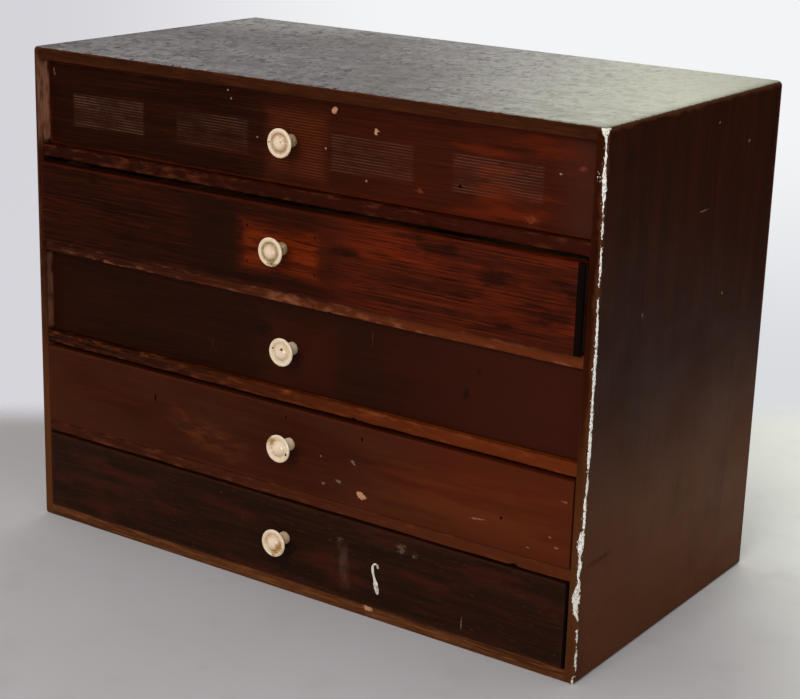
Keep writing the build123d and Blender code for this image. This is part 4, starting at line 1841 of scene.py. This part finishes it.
DRAWERS: tuple[Drawer, ...] = (
    ScoredDrawer(
        number=1,
        knob_x=-4.4,
        knob_z=346.85,
        gap=1.6,
        bone=BoneFinish(dots=(dot(2.6, 1.4, 0.6, 0.6), dot(-8.8, 0.0, 0.6, 0.7))),
    ),
    GhostDrawer(
        number=2,
        knob_x=-2.7,
        knob_z=269.75,
        gap=4.4,
        bone=BoneFinish(
            stain="#86682c",
            held=0.9,
            blots=(dot(2.5, -8.2, 5.5, 2.6),),
            dots=(dot(2.0, -8.4, 0.7, 0.7),),
        ),
    ),
    BlottedDrawer(
        number=3,
        knob_x=0.0,
        knob_z=192.6,
        bone=BoneFinish(
            stain="#a08462",
            held=0.4,
            dots=(dot(1.9, 2.9, 1.2, 1.2), dot(-7.3, 2.2, 0.6, 0.8)),
        ),
    ),
    ChippedDrawer(
        number=4,
        knob_x=3.4,
        knob_z=120.15,
        bone=BoneFinish(
            stain="#a07a40",
            held=0.15,
            blots=(dot(-6.0, 5.0, 4.5, 4.5),),
            dots=(dot(7.6, -2.7, 1.5, 1.3),),
        ),
    ),
    SplashedDrawer(
        number=5,
        knob_x=0.0,
        knob_z=43.95,
        gap=1.6,
        bone=BoneFinish(
            stain="#a27030",
            held=0.5,
            blots=(dot(6.2, -1.5, 4.2, 5.2), dot(2.0, -6.5, 5.5, 3.6)),
        ),
    ),
)


class LampUse(Enum):
    """What a lamp does: whether it lights what is dull, and whether it is mirrored in gloss."""

    FILL = (True, False)
    CATCH = (False, True)
    BOTH = (True, True)


@dataclass(frozen=True)
class Lamp:
    """A square soft lamp that faces target: its places and size in metres, its power in watts."""

    name: str
    place: tuple[float, float, float]
    size: float
    power: float
    use: LampUse
    colour: str = "#ffffff"
    target: tuple[float, float, float] = (0.0, 0.0, 0.25)

    def hang(self) -> None:
        """Hang the lamp, unseen by the camera."""
        data = bpy.data.lights.new(self.name, "AREA")
        data.shape = "SQUARE"
        data.size = self.size
        data.energy = self.power
        data.color = linear(self.colour)[:3]
        thing = bpy.data.objects.new(self.name, data)
        bpy.context.scene.collection.objects.link(thing)
        thing.visible_camera = False
        thing.visible_diffuse, thing.visible_glossy = self.use.value
        way = Vector(self.target) - Vector(self.place)
        turned = way.to_track_quat("-Z", "Y").to_matrix().to_4x4()
        thing.matrix_world = Matrix.Translation(Vector(self.place)) @ turned
        log.info("%s: %.0f W", self.name, self.power)


@dataclass(frozen=True)
class Studio:
    """The pale table, the pale backdrop, the lamps and the camera.

    The camera's place, floor_half and the lamps are in metres, the seam is in mm and turns are in
    degrees. The cloth fades into the backdrop beyond a line through seam_point, square to
    seam_normal, over seam_width. backdrop gives its colours low on the left, low on the right,
    high on the left and high on the right. window_way is where gloss sees it brightest, and
    ambient how bright the soft light from all round is.
    """

    camera_place: tuple[float, float, float] = (0.8056, -1.1732, 0.5956)
    azimuth: float = 34.214
    elevation: float = 16.961
    roll: float = 1.7985
    lens: float = 83.91
    sensor: float = 36.0
    floor_half: float = 6.0
    seam_point: tuple[float, float] = (-482.0, 37.0)
    seam_normal: tuple[float, float] = (-0.640, 0.768)
    seam_width: tuple[float, float] = (-70.0, 20.0)
    backdrop: tuple[str, str, str, str] = ("#d6d5db", "#d9dbdf", "#d5d4da", "#f3f4f6")
    window_way: tuple[float, float, float] = (-0.45, 0.87, 0.2)
    ambient: float = 0.82
    lamps: tuple[Lamp, ...] = (
        Lamp("front_lamp", (0.4, -2.6, 1.7), 1.4, 46.0, LampUse.FILL),
        Lamp("catch_light", (0.8, -1.45, 0.3), 0.16, 12.0, LampUse.CATCH),
        Lamp("window", (-0.42, 1.7, 0.8), 1.1, 10.0, LampUse.BOTH, "#fffdf0"),
    )

    def camera(self) -> None:
        """Stand the camera where the photograph was taken from."""
        data = bpy.data.cameras.new("camera")
        data.lens = self.lens
        data.sensor_width = self.sensor
        data.sensor_fit = "HORIZONTAL"
        thing = bpy.data.objects.new("camera", data)
        bpy.context.scene.collection.objects.link(thing)
        thing.matrix_world = (
            Matrix.Translation(Vector(self.camera_place))
            @ Matrix.Rotation(np.radians(self.azimuth), 4, "Z")
            @ Matrix.Rotation(np.radians(90.0 - self.elevation), 4, "X")
            @ Matrix.Rotation(np.radians(self.roll), 4, "Z")
        )
        bpy.context.scene.camera = thing

    def floor(self) -> None:
        """Lay the table: smooth grey cloth, painted paler to the right, that fades into the backdrop.
        """
        half = self.floor_half
        mesh = bpy.data.meshes.new("table")
        corners = [(-half, -half, 0.0), (half, -half, 0.0), (half, half, 0.0), (-half, half, 0.0)]
        mesh.from_pydata(corners, [], [(0, 1, 2, 3)])
        table = bpy.data.objects.new("table", mesh)
        bpy.context.scene.collection.objects.link(table)
        surface = Surface("table_grey_cloth", "#afabac", 0.85)
        # Painted light from the window: the cloth is darker to the left and paler to the right and
        # back.
        surface.lay(surface.slope((-1.0, 0.3, 0.0), 180.0, 420.0), "#989495", 0.8)
        surface.lay(surface.slope((0.7, 0.7, 0.0), 150.0, 430.0), "#e9ece4", 1.0)
        surface.stain(Cloud((160.0, 160.0, 160.0), 5.0, 0.3, 0.7, "#9d9897", 0.18))
        surface.stain(Cloud((38.0, 38.0, 38.0), 6.0, 0.5, 0.75, "#948e8b", 0.15))
        offset = sum(a * b for a, b in zip(self.seam_normal, self.seam_point))
        start, end = (offset + width for width in self.seam_width)
        beyond = surface.slope((*self.seam_normal, 0.0), start, end)
        shader = surface.add(
            "ShaderNodeBsdfPrincipled",
            named={
                "Base Color": surface.colour,
                "Roughness": surface.roughness,
                "Specular IOR Level": 0.2,
            },
        )
        clear = surface.add("ShaderNodeBsdfTransparent")
        both = surface.add("ShaderNodeMixShader", beyond, shader, clear)
        surface.add("ShaderNodeOutputMaterial", both)
        assign(table, surface.material)

    def world(self) -> None:
        """Light the scene softly from all round, and show the backdrop to the camera and to gloss.

        Gloss sees the backdrop bright toward the window and dim elsewhere.
        """
        world = bpy.data.worlds.new("studio")
        bpy.context.scene.world = world
        world.use_nodes = True
        world.node_tree.nodes.clear()
        add = partial(add_node, world.node_tree)
        ease = {"interpolation_type": "SMOOTHSTEP"}
        way = add("ShaderNodeTexCoord", out=0)
        turn = np.radians(self.azimuth)
        right = (float(np.cos(turn)), float(np.sin(turn)), 0.0)
        across = add("ShaderNodeVectorMath", way, right, operation="DOT_PRODUCT")
        share = add("ShaderNodeMapRange", across, -0.2, 0.0, **ease)
        up = add("ShaderNodeSeparateXYZ", way, out=2)
        high = add("ShaderNodeMapRange", up, -0.30, -0.16, **ease)
        colours = [linear(code) for code in self.backdrop]
        lower = add("ShaderNodeMix", share, *colours[:2], data_type="RGBA")
        upper = add("ShaderNodeMix", share, *colours[2:], data_type="RGBA")
        backdrop = add("ShaderNodeMix", high, lower, upper, data_type="RGBA")
        toward = tuple(Vector(self.window_way).normalized())
        lobe = add("ShaderNodeVectorMath", way, toward, operation="DOT_PRODUCT")
        lit = add("ShaderNodeMapRange", lobe, 0.75, 0.97, 0.05, 0.8, **ease)
        camera, glossy, through = (add("ShaderNodeLightPath", out=k) for k in (0, 3, 6))
        seen = add("ShaderNodeMath", camera, through, operation="MAXIMUM")
        soft = add("ShaderNodeBackground", linear("#ffffff"), self.ambient)
        shown = add("ShaderNodeBackground", backdrop, 1.0)
        mirrored = add("ShaderNodeBackground", backdrop, lit)
        with_gloss = add("ShaderNodeMixShader", glossy, soft, mirrored)
        add("ShaderNodeOutputWorld", add("ShaderNodeMixShader", seen, with_gloss, shown))

    def build(self) -> None:
        """Set the whole studio."""
        self.camera()
        self.floor()
        self.world()
        for lamp in self.lamps:
            lamp.hang()
        bpy.context.scene.view_settings.view_transform = "Standard"


def main() -> None:
    """Build the cabinet and its studio in order."""
    logging.basicConfig(level=logging.INFO, format="%(name)s: %(message)s")
    Case().build()
    tray = TrayFinish().make()
    for drawer in DRAWERS:
        drawer.build(tray)
    Studio().build()


if __name__ == "__main__":
    main()
